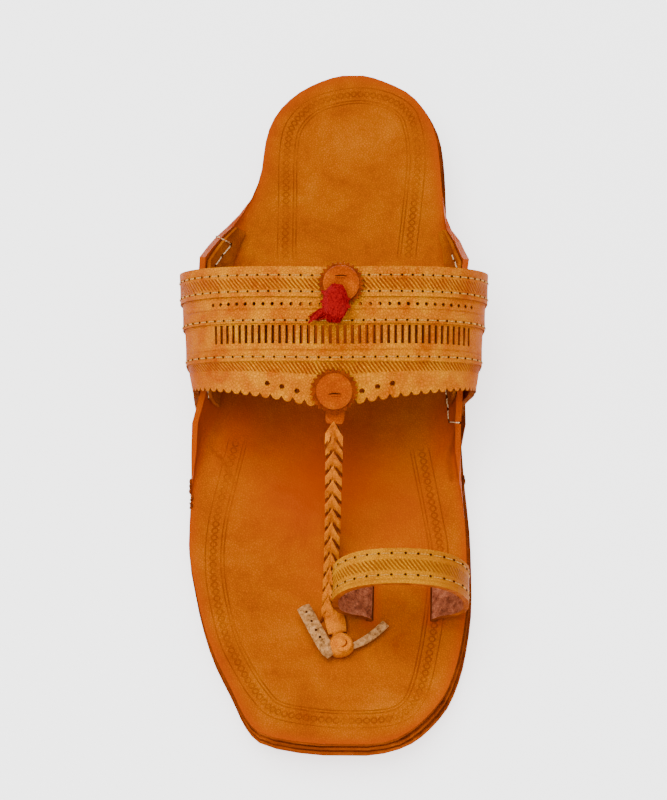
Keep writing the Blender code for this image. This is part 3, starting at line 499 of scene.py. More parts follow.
@dataclass(frozen=True)
class TannedLeather:
    """Vegetable-tanned buffalo leather, oiled and burnished by hand: warm, with fine pores and mottling."""

    name: str
    light: str
    body: str
    dark: str
    grain: float = 0.9
    grain_depth: float = 0.10
    mottling: float = 16.0
    rough: Pair = (0.40, 0.62)
    gloss: float = 0.06

    def start(self) -> tuple[Material, Socket, Socket, Socket]:
        """Starts the material with its colour and grain.

        Returns:
            The material, its place vector, its colour and its grain height in millimetres.
        """
        dress, tree, place = start_material(self.name)
        clouds = add_node(
            tree,
            "ShaderNodeTexNoise",
            {
                "Vector": place,
                "Scale": 1000 / self.mottling,
                "Detail": 5.0,
                "Roughness": 0.62,
                "Distortion": 0.4,
            },
        ).outputs["Fac"]
        ramp = add_node(tree, "ShaderNodeValToRGB", {"Fac": clouds})
        colour = set_ramp(ramp, [(0.30, self.dark), (0.50, self.body), (0.72, self.light)])
        # Pores of buffalo hide are about 0.3 mm apart, drawn here three times as coarse so that they show.
        pores = add_node(
            tree,
            "ShaderNodeTexVoronoi",
            {"Vector": place, "Scale": 1000 / self.grain, "Randomness": 1.0},
            feature="DISTANCE_TO_EDGE",
        ).outputs["Distance"]
        shallow = add_node(tree, "ShaderNodeMapRange", {"Value": pores, "From Max": 0.22}).outputs["Result"]
        fine = add_node(
            tree,
            "ShaderNodeTexNoise",
            {"Vector": place, "Scale": 2600.0, "Detail": 3.0, "Roughness": 0.7},
        ).outputs["Fac"]
        both = add_node(tree, "ShaderNodeMath", {0: shallow, 1: fine}, operation="ADD").outputs["Value"]
        grain = add_node(
            tree, "ShaderNodeMath", {0: both, 1: self.grain_depth}, operation="MULTIPLY"
        ).outputs["Value"]
        speckle = add_node(
            tree,
            "ShaderNodeMapRange",
            {"Value": both, "From Min": 0.5, "From Max": 1.7, "To Min": 0.74, "To Max": 1.14},
        ).outputs["Result"]
        grey = add_node(tree, "ShaderNodeCombineXYZ", {0: speckle, 1: speckle, 2: speckle}).outputs[0]
        colour = add_node(
            tree, "ShaderNodeVectorMath", {0: colour, 1: grey}, operation="MULTIPLY"
        ).outputs["Vector"]
        return dress, place, colour, grain

    def close(
        self,
        dress: Material,
        colour: Socket,
        height: Socket,
        spread: float = 1.0,
    ) -> Material:
        """Ends the material with its relief and satin shine.

        Args:
            dress: the material that was started.
            colour: its colour.
            height: its relief in millimetres.
            spread: scales the roughness.

        Returns:
            The material.
        """
        tree = dress.node_tree
        bump = add_node(
            tree, "ShaderNodeBump", {"Height": height, "Distance": MM, "Strength": 1.0}
        ).outputs["Normal"]
        smear = add_node(
            tree,
            "ShaderNodeTexNoise",
            {"Vector": add_node(tree, "ShaderNodeTexCoord").outputs["Object"], "Scale": 90.0, "Detail": 4.0},
        ).outputs["Fac"]
        shine = add_node(
            tree,
            "ShaderNodeMapRange",
            {
                "Value": smear,
                "From Min": 0.3,
                "From Max": 0.7,
                "To Min": self.rough[0] * spread,
                "To Max": self.rough[1] * spread,
            },
        ).outputs["Result"]
        # Oil in the hide warms its reflections.
        warmth = {"IOR": 1.48, "Specular IOR Level": self.gloss, "Specular Tint": linear("#FFA858")}
        shader = add_node(
            tree,
            "ShaderNodeBsdfPrincipled",
            {"Base Color": colour, "Roughness": shine, "Normal": bump, **warmth},
        )
        add_node(tree, "ShaderNodeOutputMaterial", {"Surface": shader.outputs["BSDF"]})
        return dress

    def plain(self) -> Material:
        """Makes the leather with no tooling on it."""
        dress, _, colour, height = self.start()
        return self.close(dress, colour, height)

    def tooled(
        self,
        chart: str,
        bands: Stops,
        lines: Stops,
        pitch: float,
        slant: float,
        pressed: str,
        shaded_ends: Triple,
        end_shade_tone: str,
    ) -> Material:
        """Makes the leather with slanting stamp strokes in bands, and lines pressed with a blunt wheel.

        Args:
            chart: the piece's attribute with the way along (mm), the share across and the way across (mm).
            bands: grey stops over the share across, 1 where strokes are stamped.
            lines: grey stops over the share across, 1 where a line is pressed.
            pitch: the strokes' spacing in millimetres.
            slant: how far a stroke moves along for each millimetre across.
            pressed: hex colour at the bottom of a stroke.
            shaded_ends: the middle of the way along, and where from it the painted shade of the ends starts
                and is full, in mm.
            end_shade_tone: hex colour of the ends' painted shade, darker and redder.

        Returns:
            The material.
        """
        dress, place, colour, grain = self.start()
        tree = dress.node_tree
        where = add_node(tree, "ShaderNodeAttribute", attribute_name=chart).outputs["Vector"]
        parts = add_node(tree, "ShaderNodeSeparateXYZ", {0: where}).outputs
        leaning = add_node(
            tree, "ShaderNodeMath", {0: parts["Z"], 1: slant, 2: parts["X"]}, operation="MULTIPLY_ADD"
        ).outputs["Value"]
        # The strokes are hand-struck, so their spacing wanders a little.
        wander = add_node(
            tree, "ShaderNodeTexNoise", {"Vector": place, "Scale": 260.0, "Detail": 1.0}
        ).outputs["Fac"]
        uneven = add_node(
            tree, "ShaderNodeMath", {0: wander, 1: 0.7, 2: leaning}, operation="MULTIPLY_ADD"
        ).outputs["Value"]
        wave = add_node(
            tree, "ShaderNodeMath", {0: uneven, 1: 2 * math.pi / pitch}, operation="MULTIPLY"
        ).outputs["Value"]
        stroke = add_node(tree, "ShaderNodeMath", {0: wave}, operation="SINE").outputs["Value"]
        stroke = add_node(
            tree,
            "ShaderNodeMapRange",
            {"Value": stroke, "From Min": -0.25, "From Max": 0.7},
            interpolation_type="SMOOTHSTEP",
        ).outputs["Result"]
        inside = set_ramp(add_node(tree, "ShaderNodeValToRGB", {"Fac": parts["Y"]}), bands)
        cut = add_node(tree, "ShaderNodeMath", {0: stroke, 1: inside}, operation="MULTIPLY").outputs["Value"]
        lined = set_ramp(add_node(tree, "ShaderNodeValToRGB", {"Fac": parts["Y"]}), lines)
        relief = add_node(tree, "ShaderNodeMath", {0: cut, 1: lined}, operation="MAXIMUM").outputs["Value"]
        strength = add_node(
            tree, "ShaderNodeMapRange", {"Value": wander, "From Min": 0.25, "From Max": 0.75, "To Min": 0.75}
        ).outputs["Result"]
        worn = add_node(
            tree, "ShaderNodeMath", {0: relief, 1: strength}, operation="MULTIPLY"
        ).outputs["Value"]
        # The ends far from the middle get a painted shade that tones down the light falling on them.
        aside = add_node(
            tree, "ShaderNodeMath", {0: parts["X"], 1: shaded_ends[0]}, operation="SUBTRACT"
        ).outputs["Value"]
        aside = add_node(tree, "ShaderNodeMath", {0: aside}, operation="ABSOLUTE").outputs["Value"]
        end_shade = add_node(
            tree,
            "ShaderNodeMapRange",
            {"Value": aside, "From Min": shaded_ends[1], "From Max": shaded_ends[2], "To Max": 0.8},
            interpolation_type="SMOOTHSTEP",
        ).outputs["Result"]
        end_shaded = add_node(
            tree, "ShaderNodeMix", {0: end_shade, 6: colour, 7: linear(end_shade_tone)}, data_type="RGBA"
        ).outputs[2]
        mixed = add_node(tree, "ShaderNodeMix", {0: worn, 6: end_shaded, 7: linear(pressed)}, data_type="RGBA")
        height = add_node(
            tree, "ShaderNodeMath", {0: worn, 1: -0.42, 2: grain}, operation="MULTIPLY_ADD"
        ).outputs["Value"]
        return self.close(dress, mixed.outputs[2], height)


@dataclass(frozen=True)
class CutEdge(TannedLeather):
    """Cut edges of stacked sole leather, stained and burnished: matt, with thin layers lying level."""

    def layered(self) -> Material:
        """Makes the edge, with streaks along its layers.

        Returns:
            The material.
        """
        dress, place, colour, grain = self.start()
        tree = dress.node_tree
        flat = add_node(
            tree, "ShaderNodeMapping", {"Vector": place, "Scale": (40.0, 40.0, 1500.0)}
        ).outputs["Vector"]
        streaks = add_node(
            tree, "ShaderNodeTexNoise", {"Vector": flat, "Scale": 1.0, "Detail": 4.0, "Roughness": 0.65}
        ).outputs["Fac"]
        shade = add_node(
            tree,
            "ShaderNodeMapRange",
            {"Value": streaks, "From Min": 0.35, "From Max": 0.65, "To Min": 0.62, "To Max": 1.18},
        ).outputs["Result"]
        grey = add_node(tree, "ShaderNodeCombineXYZ", {0: shade, 1: shade, 2: shade}).outputs[0]
        colour = add_node(
            tree, "ShaderNodeVectorMath", {0: colour, 1: grey}, operation="MULTIPLY"
        ).outputs["Vector"]
        height = add_node(
            tree, "ShaderNodeMath", {0: streaks, 1: 0.35, 2: grain}, operation="MULTIPLY_ADD"
        ).outputs["Value"]
        return self.close(dress, colour, height, 1.25)


@dataclass(frozen=True)
class StampedInsole(TannedLeather):
    """Insole leather with a border rolled in by hand: an outer line, a row of rings and two inner lines."""

    warm: str = "#AC3C02"
    pressed: str = "#7E3002"
    # Painted shade where the strap shades the insole under it.
    under_strap_shade: str = "#5C1E02"
    border_depth: float = 10.0
    ring_pitch: float = 2.8
    ring_middle: float = 3.1

    def bordered(self, chart: str, stains_and_shade: str) -> Material:
        """Makes the insole's grain side.

        Args:
            chart: attribute with the way along the border (mm), in from it (mm), and 1 where it is stamped.
            stains_and_shade: attribute with the share of redder oil, the way from a crease (mm), and the share
                of painted shade under the strap.

        Returns:
            The material.
        """
        dress, place, colour, grain = self.start()
        tree = dress.node_tree
        where = add_node(tree, "ShaderNodeAttribute", attribute_name=chart).outputs["Vector"]
        parts = add_node(tree, "ShaderNodeSeparateXYZ", {0: where}).outputs
        stained = add_node(tree, "ShaderNodeAttribute", attribute_name=stains_and_shade).outputs["Vector"]
        tone = add_node(tree, "ShaderNodeSeparateXYZ", {0: stained}).outputs
        depth = add_node(
            tree, "ShaderNodeMath", {0: parts["Y"], 1: self.border_depth}, operation="DIVIDE"
        ).outputs["Value"]
        stops = [(0.0, 0.0)]
        for line in (0.02, 0.60, 0.72):
            stops += [(max(0.001, line - 0.03), 0.0), (line, 1.0), (line + 0.035, 0.0)]
        lines = set_ramp(add_node(tree, "ShaderNodeValToRGB", {"Fac": depth}), stops)
        along = add_node(
            tree, "ShaderNodeMath", {0: parts["X"], 1: self.ring_pitch}, operation="DIVIDE"
        ).outputs["Value"]
        across = add_node(
            tree,
            "ShaderNodeMath",
            {0: parts["Y"], 1: 1 / self.ring_pitch, 2: -self.ring_middle / self.ring_pitch},
            operation="MULTIPLY_ADD",
        ).outputs["Value"]
        cell = add_node(tree, "ShaderNodeCombineXYZ", {0: along, 1: across}).outputs[0]
        rings = add_node(
            tree,
            "ShaderNodeTexVoronoi",
            {"Vector": cell, "Scale": 1.0, "Randomness": 0.0},
            voronoi_dimensions="2D",
        ).outputs["Distance"]
        ring = set_ramp(
            add_node(tree, "ShaderNodeValToRGB", {"Fac": rings}),
            [(0.0, 0.5), (0.10, 0.15), (0.24, 0.1), (0.34, 1.0), (0.43, 0.9), (0.49, 0.1), (0.52, 0.0)],
        )
        row = set_ramp(
            add_node(tree, "ShaderNodeValToRGB", {"Fac": depth}),
            [(0.0, 0.0), (0.13, 0.0), (0.18, 1.0), (0.44, 1.0), (0.50, 0.0)],
        )
        stamped = add_node(tree, "ShaderNodeMath", {0: ring, 1: row}, operation="MULTIPLY").outputs["Value"]
        both = add_node(tree, "ShaderNodeMath", {0: stamped, 1: lines}, operation="MAXIMUM").outputs["Value"]
        # The wheel was leaned on unevenly, so the stamping fades in places.
        lean = add_node(
            tree, "ShaderNodeTexNoise", {"Vector": place, "Scale": 55.0, "Detail": 2.0}
        ).outputs["Fac"]
        firm = add_node(
            tree,
            "ShaderNodeMapRange",
            {"Value": lean, "From Min": 0.36, "From Max": 0.62, "To Min": 0.42, "To Max": 1.0},
        ).outputs["Result"]
        here = add_node(tree, "ShaderNodeMath", {0: both, 1: firm}, operation="MULTIPLY").outputs["Value"]
        here = add_node(
            tree, "ShaderNodeMath", {0: here, 1: parts["Z"]}, operation="MULTIPLY"
        ).outputs["Value"]
        fold = add_node(
            tree,
            "ShaderNodeMapRange",
            {"Value": tone["Y"], "From Min": 0.0, "From Max": 1.6, "To Min": 0.8, "To Max": 0.0},
            interpolation_type="SMOOTHSTEP",
        ).outputs["Result"]
        relief = add_node(tree, "ShaderNodeMath", {0: here, 1: fold}, operation="MAXIMUM").outputs["Value"]
        # The strap's shade on the insole is painted in, over the real oil stains and pressed lines.
        strap_shade = add_node(tree, "ShaderNodeMath", {0: tone["Z"], 1: 0.5}, operation="MULTIPLY").outputs["Value"]
        ink = add_node(tree, "ShaderNodeMath", {0: relief, 1: 0.62}, operation="MULTIPLY").outputs["Value"]
        for share, over in ((tone["X"], self.warm), (strap_shade, self.under_strap_shade), (ink, self.pressed)):
            colour = add_node(
                tree, "ShaderNodeMix", {0: share, 6: colour, 7: linear(over)}, data_type="RGBA"
            ).outputs[2]
        height = add_node(
            tree, "ShaderNodeMath", {0: relief, 1: -0.30, 2: grain}, operation="MULTIPLY_ADD"
        ).outputs["Value"]
        return self.close(dress, colour, height)


@dataclass(frozen=True)
class WaxedThread:
    """Twisted cotton thread: dull, with the twist's ridges across it."""

    name: str
    light: str
    dark: str

    def build(self) -> Material:
        """Makes the thread.

        Returns:
            The material.
        """
        dress, tree, place = start_material(self.name)
        turned = add_node(
            tree, "ShaderNodeMapping", {"Vector": place, "Rotation": (0.0, 0.0, 0.7)}
        ).outputs["Vector"]
        # Two plies twist about every 0.8 mm, with painted shade in the grooves between them.
        ply = add_node(
            tree, "ShaderNodeTexWave", {"Vector": turned, "Scale": 390.0, "Distortion": 1.0}
        ).outputs["Fac"]
        colour = set_ramp(
            add_node(tree, "ShaderNodeValToRGB", {"Fac": ply}), [(0.1, self.dark), (0.7, self.light)]
        )
        bump = add_node(
            tree, "ShaderNodeBump", {"Height": ply, "Distance": 0.15 * MM, "Strength": 0.8}
        ).outputs["Normal"]
        shader = add_node(
            tree,
            "ShaderNodeBsdfPrincipled",
            {"Base Color": colour, "Roughness": 0.72, "Normal": bump, "Specular IOR Level": 0.2},
        )
        add_node(tree, "ShaderNodeOutputMaterial", {"Surface": shader.outputs["BSDF"]})
        return dress


@dataclass(frozen=True)
class DyedWool:
    """Loose dyed wool yarn: matt and deep red, paler where single fibres catch the light."""

    name: str = "dyed_red_wool"
    light: str = "#A60408"
    dark: str = "#620206"

    def build(self) -> Material:
        """Makes the wool.

        Returns:
            The material.
        """
        dress, tree, place = start_material(self.name)
        fuzz = add_node(
            tree, "ShaderNodeTexNoise", {"Vector": place, "Scale": 1400.0, "Detail": 4.0, "Roughness": 0.7}
        ).outputs["Fac"]
        colour = set_ramp(
            add_node(tree, "ShaderNodeValToRGB", {"Fac": fuzz}), [(0.32, self.dark), (0.66, self.light)]
        )
        bump = add_node(
            tree, "ShaderNodeBump", {"Height": fuzz, "Distance": 0.3 * MM, "Strength": 0.9}
        ).outputs["Normal"]
        shader = add_node(
            tree,
            "ShaderNodeBsdfPrincipled",
            {"Base Color": colour, "Roughness": 0.95, "Normal": bump, "Specular IOR Level": 0.1},
        )
        add_node(tree, "ShaderNodeOutputMaterial", {"Surface": shader.outputs["BSDF"]})
        return dress


STRAP_LEATHER = TannedLeather(
    "oiled_tan_strap_leather", "#E08E04", "#CC7202", "#B45002",
    grain=1.1, grain_depth=0.18, mottling=9.0, gloss=0.02,
)
ROSETTE_LEATHER = TannedLeather("oiled_rosette_leather", "#BC5604", "#A84402", "#923202", mottling=7.0)
# The ring's own tone, darkened further as painted shade under the disc's edge.
RING_LEATHER_IN_SHADE = TannedLeather("pinked_ring_in_painted_shade", "#A44808", "#8C3604", "#6A2402", grain=0.8, mottling=4.0)
LOOP_LEATHER = TannedLeather(
    "golden_loop_leather", "#DA9204", "#C87C02", "#AE5E02", grain_depth=0.14, gloss=0.02
)
BRAID_LEATHER = TannedLeather(
    "tan_thong_leather", "#EC880A", "#D67206", "#A04402",
    grain=0.8, mottling=5.0, rough=(0.3, 0.48), gloss=0.3,
)
FLESH_SIDE = TannedLeather(
    "flesh_side_of_leather", "#EC8E62", "#C46C46", "#7C3C26",
    grain=0.7, grain_depth=0.3, mottling=2.5, rough=(0.8, 0.95),
)
# Stained cut edges, darkened further so that the slots' walls carry a painted shade.
CUT_EDGE_AND_SLOT_SHADE = TannedLeather(
    "cut_strap_edge_and_slot_shade", "#A8581A", "#8A3E0C", "#5E2406",
    grain=0.6, grain_depth=0.2, mottling=3.0, rough=(0.7, 0.9),
)
EAR_BACK = TannedLeather(
    "back_of_ear_leather", "#B8640A", "#A85206", "#903E04", grain=0.8, rough=(0.6, 0.8), gloss=0.0
)
LOOP_EDGE = TannedLeather(
    "cut_loop_edge_leather", "#B4560A", "#984404", "#762E02", grain=0.6, mottling=3.0, gloss=0.02
)
UNDER_STRAP = TannedLeather(
    "strap_lining_leather", "#9C5012", "#7C380A", "#562206", grain=0.8, grain_depth=0.18, rough=(0.7, 0.9)
)
RAWHIDE = TannedLeather(
    "undyed_rawhide_thong", "#DCA468", "#BA8048", "#5C3818", grain=0.7, mottling=1.7, rough=(0.55, 0.75)
)
TONGUE_LEATHER = TannedLeather("tan_backing_leather", "#B45E04", "#A85202", "#944402", gloss=0.0)
# Painted shade on the tongue where the strap covers it.
TONGUE_SHADE = TannedLeather("painted_shade_on_backing", "#3E1602", "#321202", "#260C02", gloss=0.0)
# The sole's stained sewing thong; the same leather paints the shade between the braid's arms.
BEAD_AND_SHADE_LEATHER = TannedLeather("sewing_thong_and_braid_shade", "#9A4A14", "#80360C", "#5A2206", grain=0.5, mottling=2.0)
# Painted shade in the shallow awl holes and in the rosettes' slits.
HOLE_SHADE = TannedLeather("painted_hole_shade", "#5A2406", "#421804", "#2A0E02", grain=0.5, rough=(0.8, 0.95))
SOLE_EDGE = CutEdge(
    "stained_sole_edge", "#A24A0D", "#8A3A0A", "#7A3006", mottling=9.0, rough=(0.5, 0.75), gloss=0.0
)
INSOLE_LEATHER = StampedInsole(
    "oiled_insole_leather", "#BC6402", "#AE5402", "#9A4202",
    grain=0.8, mottling=22.0, rough=(0.36, 0.56), gloss=0.07,
)
SEAM_THREAD = WaxedThread("waxed_cotton_thread", "#CE9238", "#AA7022")
EAR_THREAD = WaxedThread("bare_cotton_thread", "#F2D6A8", "#C89C64")


@dataclass
class StrapForm:
    """The instep strap's middle sheet: an arch for each share across, from its rear edge to its front."""

    rear: float = 114.0 * MM
    front: float = 160.2 * MM
    rear_bow: float = 15.3 * MM
    front_bow: float = 19.2 * MM
    seam: float = 144.4 * MM
    seam_bow: float = 11.9 * MM
    seam_across: float = 0.708
    crowns: Pair = (75.2 * MM, 53.0 * MM)
    half_widths: Pair = (54.7 * MM, 50.5 * MM)
    centres: Pair = (-8.9 * MM, -8.4 * MM)
    widest: Pair = (40.0 * MM, 28.0 * MM)
    bulge: float = 2.4 * MM
    leg_share: float = 0.2
    foot_height: float = 8.0 * MM
    foot_lean: float = 2.0 * MM

    def spot(self, reach: float, across: float) -> Vector:
        """Gives a place on the sheet.

        Args:
            reach: from the lateral foot (-1) over the crown (0) to the medial foot (1).
            across: from the rear edge (0) to the front edge (1).

        Returns:
            The place, in metres.
        """
        side = 1.0 if reach >= 0 else -1.0
        arm = min(1.0, abs(reach) / (1 - self.leg_share))
        turn = math.pi / 2 * (1 - arm)
        slack = 1 - math.sin(turn)
        rear = self.rear - self.rear_bow * slack**0.85
        front = self.front - self.front_bow * slack**0.48
        seam = self.seam - self.seam_bow * slack**0.85
        if across < self.seam_across:
            along = rear + (seam - rear) * across / self.seam_across
        else:
            along = seam + (front - seam) * (across - self.seam_across) / (1 - self.seam_across)
        half, centre, low, crown = (
            a + (b - a) * across for a, b in (self.half_widths, self.centres, self.widest, self.crowns)
        )
        crown += 4 * self.bulge * across * (1 - across)
        leg = max(0.0, (abs(reach) - 1 + self.leg_share) / self.leg_share)
        x = centre + side * (half * math.cos(turn) - leg * self.foot_lean)
        z = low + (crown - low) * math.sin(turn) - leg * (low - self.foot_height)
        return Vector((x + MEASURE_SHIFT, HEEL_TO_MIDDLE - along, z))

    def slopes(self, reach: float, across: float, steps: Pair) -> tuple[Vector, Vector]:
        """Gives how a place moves with the reach and with the share across, from small steps in each.

        Args:
            reach: as spot takes it.
            across: as spot takes it.
            steps: the step in each.

        Returns:
            The slope round the arch and the slope across it.
        """
        around = (self.spot(reach + steps[0], across) - self.spot(reach - steps[0], across)) / (2 * steps[0])
        ahead = (self.spot(reach, across + steps[1]) - self.spot(reach, across - steps[1])) / (2 * steps[1])
        return around, ahead

    def arc(self, across: float, steps: int = 320) -> tuple[list[float], list[float]]:
        """Gives reaches from -1 to 1, and each one's way along from the crown in metres.

        Args:
            across: from the rear edge (0) to the front edge (1).
            steps: how many steps to take.

        Returns:
            The reaches and their ways.
        """
        reaches = [-1 + 2 * k / steps for k in range(steps + 1)]
        ways = ways_along([self.spot(reach, across) for reach in reaches])
        return reaches, [way - ways[steps // 2] for way in ways]


@dataclass
class ThreadStitch:
    """One stitch of thread lying over the leather between two awl holes."""

    length: float = 3.1 * MM
    radius: float = 0.24 * MM
    # Along as a share of half the length, then height and thickness as shares of the radius.
    rows: tuple[Triple, ...] = (
        (-1.0, -0.6, 0.6), (-0.8, 0.25, 0.9), (-0.3, 0.6, 1.0),
        (0.3, 0.6, 1.0), (0.8, 0.25, 0.9), (1.0, -0.6, 0.6),
    )

    def model(self) -> Piece:
        """Sweeps the stitch along X, with its ends sinking into the leather."""
        line = [(along * self.length / 2, 0.0, up * self.radius) for along, up, _ in self.rows]
        return swept_cord(line, [self.radius * thick for _, _, thick in self.rows], "stitch_master")


@dataclass
class AwlHole:
    """The dimple round a stitch's end, where the awl went through."""

    radius: float = 0.46 * MM
    rim: float = 0.20 * MM
    depth: float = 0.18 * MM

    def model(self) -> Piece:
        """Insets and sinks a small disc, which its painted shade makes read as a hole.

        Returns:
            The hole, with Z out of the leather.
        """
        clear_selection()
        bpy.ops.mesh.primitive_circle_add(vertices=8, radius=self.radius, fill_type="NGON")
        piece = bpy.context.object
        edit_mesh(bpy.ops.mesh.inset, thickness=self.radius * 0.35, depth=-self.depth)
        piece.data.transform(Matrix.Translation((0.0, 0.0, self.rim)))
        piece.name = "hole_master"
        return piece


@dataclass
class Seam:
    """A run of stitches laid on the leather."""

    stitch: ThreadStitch = field(default_factory=ThreadStitch)
    hole: AwlHole = field(default_factory=AwlHole)
    hole_shift: float = 1.95 * MM

    def sew(self, places: Sequence[Matrix], name: str, slot: Slot, thread: Material, holes: Material) -> None:
        """Lays the stitches, with a hole at each stitch's start.

        Args:
            places: the middle of each stitch, X along the seam and Z out of the leather.
            name: the seam's name.
            slot: the slot of the leather that carries it.
            thread: the thread's material.
            holes: the holes' material.
        """
        ends = [place @ Matrix.Translation((self.hole_shift, 0.0, 0.0)) for place in places]
        finish_piece(copies_of(self.stitch.model(), places, f"{name}_thread"), slot, thread)
        finish_piece(copies_of(self.hole.model(), ends, f"{name}_awl_holes"), slot, holes)


@dataclass
class Sole:
    """The stacked sole: outsole, midsole and two heel lifts with cut edges."""

    nodes: tuple[str, ...] = ("outsole", "midsole", "heel_lift_upper", "heel_lift_lower")
    bead: ThreadStitch = field(default_factory=lambda: ThreadStitch(2.0 * MM, 0.55 * MM))
    bead_marks: tuple[Pair, ...] = (
        (19.5, 482.0), (18.6, 486.5), (18.0, 491.5), (18.4, 498.0), (18.6, 506.0),
        (293.6, 478.0), (294.6, 481.5), (292.8, 494.0),
    )

    def build(self, edge: Material, thread: Material, view: PhotoView) -> None:
        """Smooths the layers' sides and sews the beads on their edge.

        Args:
            edge: the cut edges' material.
            thread: the sewing thong's material.
            view: the photograph's camera, which places the beads.
        """
        for name in self.nodes:
            finish_piece(worked_copy(name, f"{name}_leather", 34.0), Slot.SOLE_EDGE, edge, (name,))
        skin = Surface(("outsole", "midsole", "insole"))
        places = []
        for across, down in self.bead_marks:
            # A bead stands out past the edge, so its mark is moved in until it meets the sole.
            side = 1.0 if across > view.shoe_middle else -1.0
            tries = (skin.hit(view.eye, view.heading(across - side * step * 0.4, down)) for step in range(14))
            found = next(filter(None, tries), None)
            if found:
                places.append(axes_at(found[0], Vector((0.0, 1.0, 0.3)), found[1]))
        finish_piece(copies_of(self.bead.model(), places, "sole_thong_stitches"), Slot.SOLE_EDGE, thread)


@dataclass
class Insole:
    """The insole with its ears, rolled border, creases, stains, painted shade under the strap and the ears'
    facings.
    """

    cell: float = 1.8 * MM
    edge_height: float = 10.4 * MM
    heel_length: float = 88.3 * MM
    waist_length: float = 70.0 * MM
    heel_rise: float = 9.3 * MM
    spring_start: float = 220.0 * MM
    spring_length: float = 56.0 * MM
    toe_spring: float = 8.0 * MM
    sample: float = 0.8 * MM
    # Places in these tables are measured on the sole, across and toward the toe, in millimetres.
    toe_border: tuple[Pair, ...] = (
        (-49.6, 15.0), (-52.2, 28.0), (-56.0, 50.0), (-55.8, 70.0), (-50.7, 92.5), (-44.7, 106.0),
        (-37.0, 118.6), (-29.4, 126.0), (-15.0, 129.3), (-0.7, 130.3), (14.4, 129.0), (22.5, 124.0),
        (27.1, 114.7), (30.4, 98.6), (33.2, 76.0), (33.7, 58.5), (31.2, 43.3), (26.4, 18.5),
    )
    heel_border: tuple[Pair, ...] = (
        (20.8, -59.0), (21.2, -64.3), (23.2, -87.3), (23.9, -102.7), (22.2, -116.1), (18.2, -125.1),
        (8.4, -131.4), (-5.3, -133.2), (-20.9, -128.7), (-30.4, -118.4), (-33.1, -105.0), (-32.9, -83.0),
        (-32.7, -64.0), (-32.5, -59.0),
    )
    creases: tuple[tuple[Pair, ...], ...] = (
        ((-52.0, -48.0), (-49.0, -34.0), (-50.0, -18.0), (-54.0, -4.0)),
        ((-47.5, -40.0), (-46.0, -26.0), (-47.0, -12.0)),
        ((33.5, -50.0), (36.5, -36.0), (35.5, -20.0), (38.5, -6.0)),
        ((31.0, -38.0), (32.5, -24.0), (31.5, -12.0)),
        ((-55.0, 18.0), (-50.0, 24.0), (-46.0, 33.0)),
        ((36.0, 14.0), (33.5, 22.0), (34.5, 31.0)),
    )
    # Each oil stain's place, its width and length, and its strength.
    oil: tuple[tuple[float, ...], ...] = (
        (-12.0, 26.0, 32.0, 34.0, 0.9),
        (14.0, 40.0, 20.0, 36.0, 0.55),
        (-10.0, 62.0, 16.0, 30.0, 0.45),
        (-45.0, 8.0, 14.0, 22.0, 0.75),
        (33.0, 12.0, 12.0, 20.0, 0.75),
        (-8.0, -20.0, 60.0, 26.0, 0.6),
    )

    def rise(self, along: float) -> float:
        """Gives the sole's lift at a distance from the heel's end, both in metres.

        Args:
            along: the distance.

        Returns:
            The lift.
        """
        if along > self.spring_start:
            return self.toe_spring * ((along - self.spring_start) / self.spring_length) ** 1.8
        share = min(1.0, max(0.0, (along - self.heel_length) / self.waist_length))
        return self.heel_rise * (1 - share * share * (3 - 2 * share))

    def rounded(self, corners: Sequence[Pair], step: float) -> np.ndarray:
        """Rounds a line given in millimetres and gives X and Y of even samples, a step apart, in metres.

        Args:
            corners: places that are measured on the sole.
            step: the way between two samples.

        Returns:
            The samples.
        """
        line = np.array([measured(*c) for c in corners])
        line = np.vstack([2 * line[0] - line[1], line, 2 * line[-1] - line[-2]])
        fine = []
        for k in range(1, len(line) - 2):
            a, b, c, d = line[k - 1 : k + 3]
            for t in np.linspace(0, 1, 24, endpoint=False):
                bend = (2 * a - 5 * b + 4 * c - d) * t**2 + (3 * b - a - 3 * c + d) * t**3
                fine.append(0.5 * (2 * b + (c - a) * t + bend))
        fine = np.array([*fine, line[-2]])
        ways = np.concatenate([[0.0], np.cumsum(np.linalg.norm(np.diff(fine, axis=0), axis=1))])
        even = np.arange(0.0, ways[-1], step)
        return np.column_stack([np.interp(even, ways, fine[:, axis]) for axis in (0, 1)])

    def chart_border(self, places: np.ndarray) -> np.ndarray:
        """Charts the border.

        Args:
            places: the vertices' X and Y.

        Returns:
            The way along the border and in from its outer line in millimetres, and the share stamped.
        """
        best = np.full(len(places), np.inf)
        chart = np.zeros((len(places), 3))
        step = self.sample / MM
        for corners in (self.toe_border, self.heel_border):
            line = self.rounded(corners, self.sample)
            ahead = np.gradient(line, axis=0)
            ahead /= np.linalg.norm(ahead, axis=1)[:, None]
            away = places[:, None, :] - line[None, :, :]
            near = np.argmin((away**2).sum(2), axis=1)
            rest = places - line[near]
            along = near * step + (rest * ahead[near]).sum(1) / MM
            inward = (ahead[near, 0] * rest[:, 1] - ahead[near, 1] * rest[:, 0]) / MM
            size = np.linalg.norm(rest, axis=1)
            total = (len(line) - 1) * step
            # The stamping fades over the last 3 mm past each end.
            firm = np.clip(np.minimum(along, total - along) / 3.0 + 1.0, 0.0, 1.0)
            closer = size < best
            best[closer] = size[closer]
            chart[closer] = np.column_stack([along, inward, firm])[closer]
        return chart

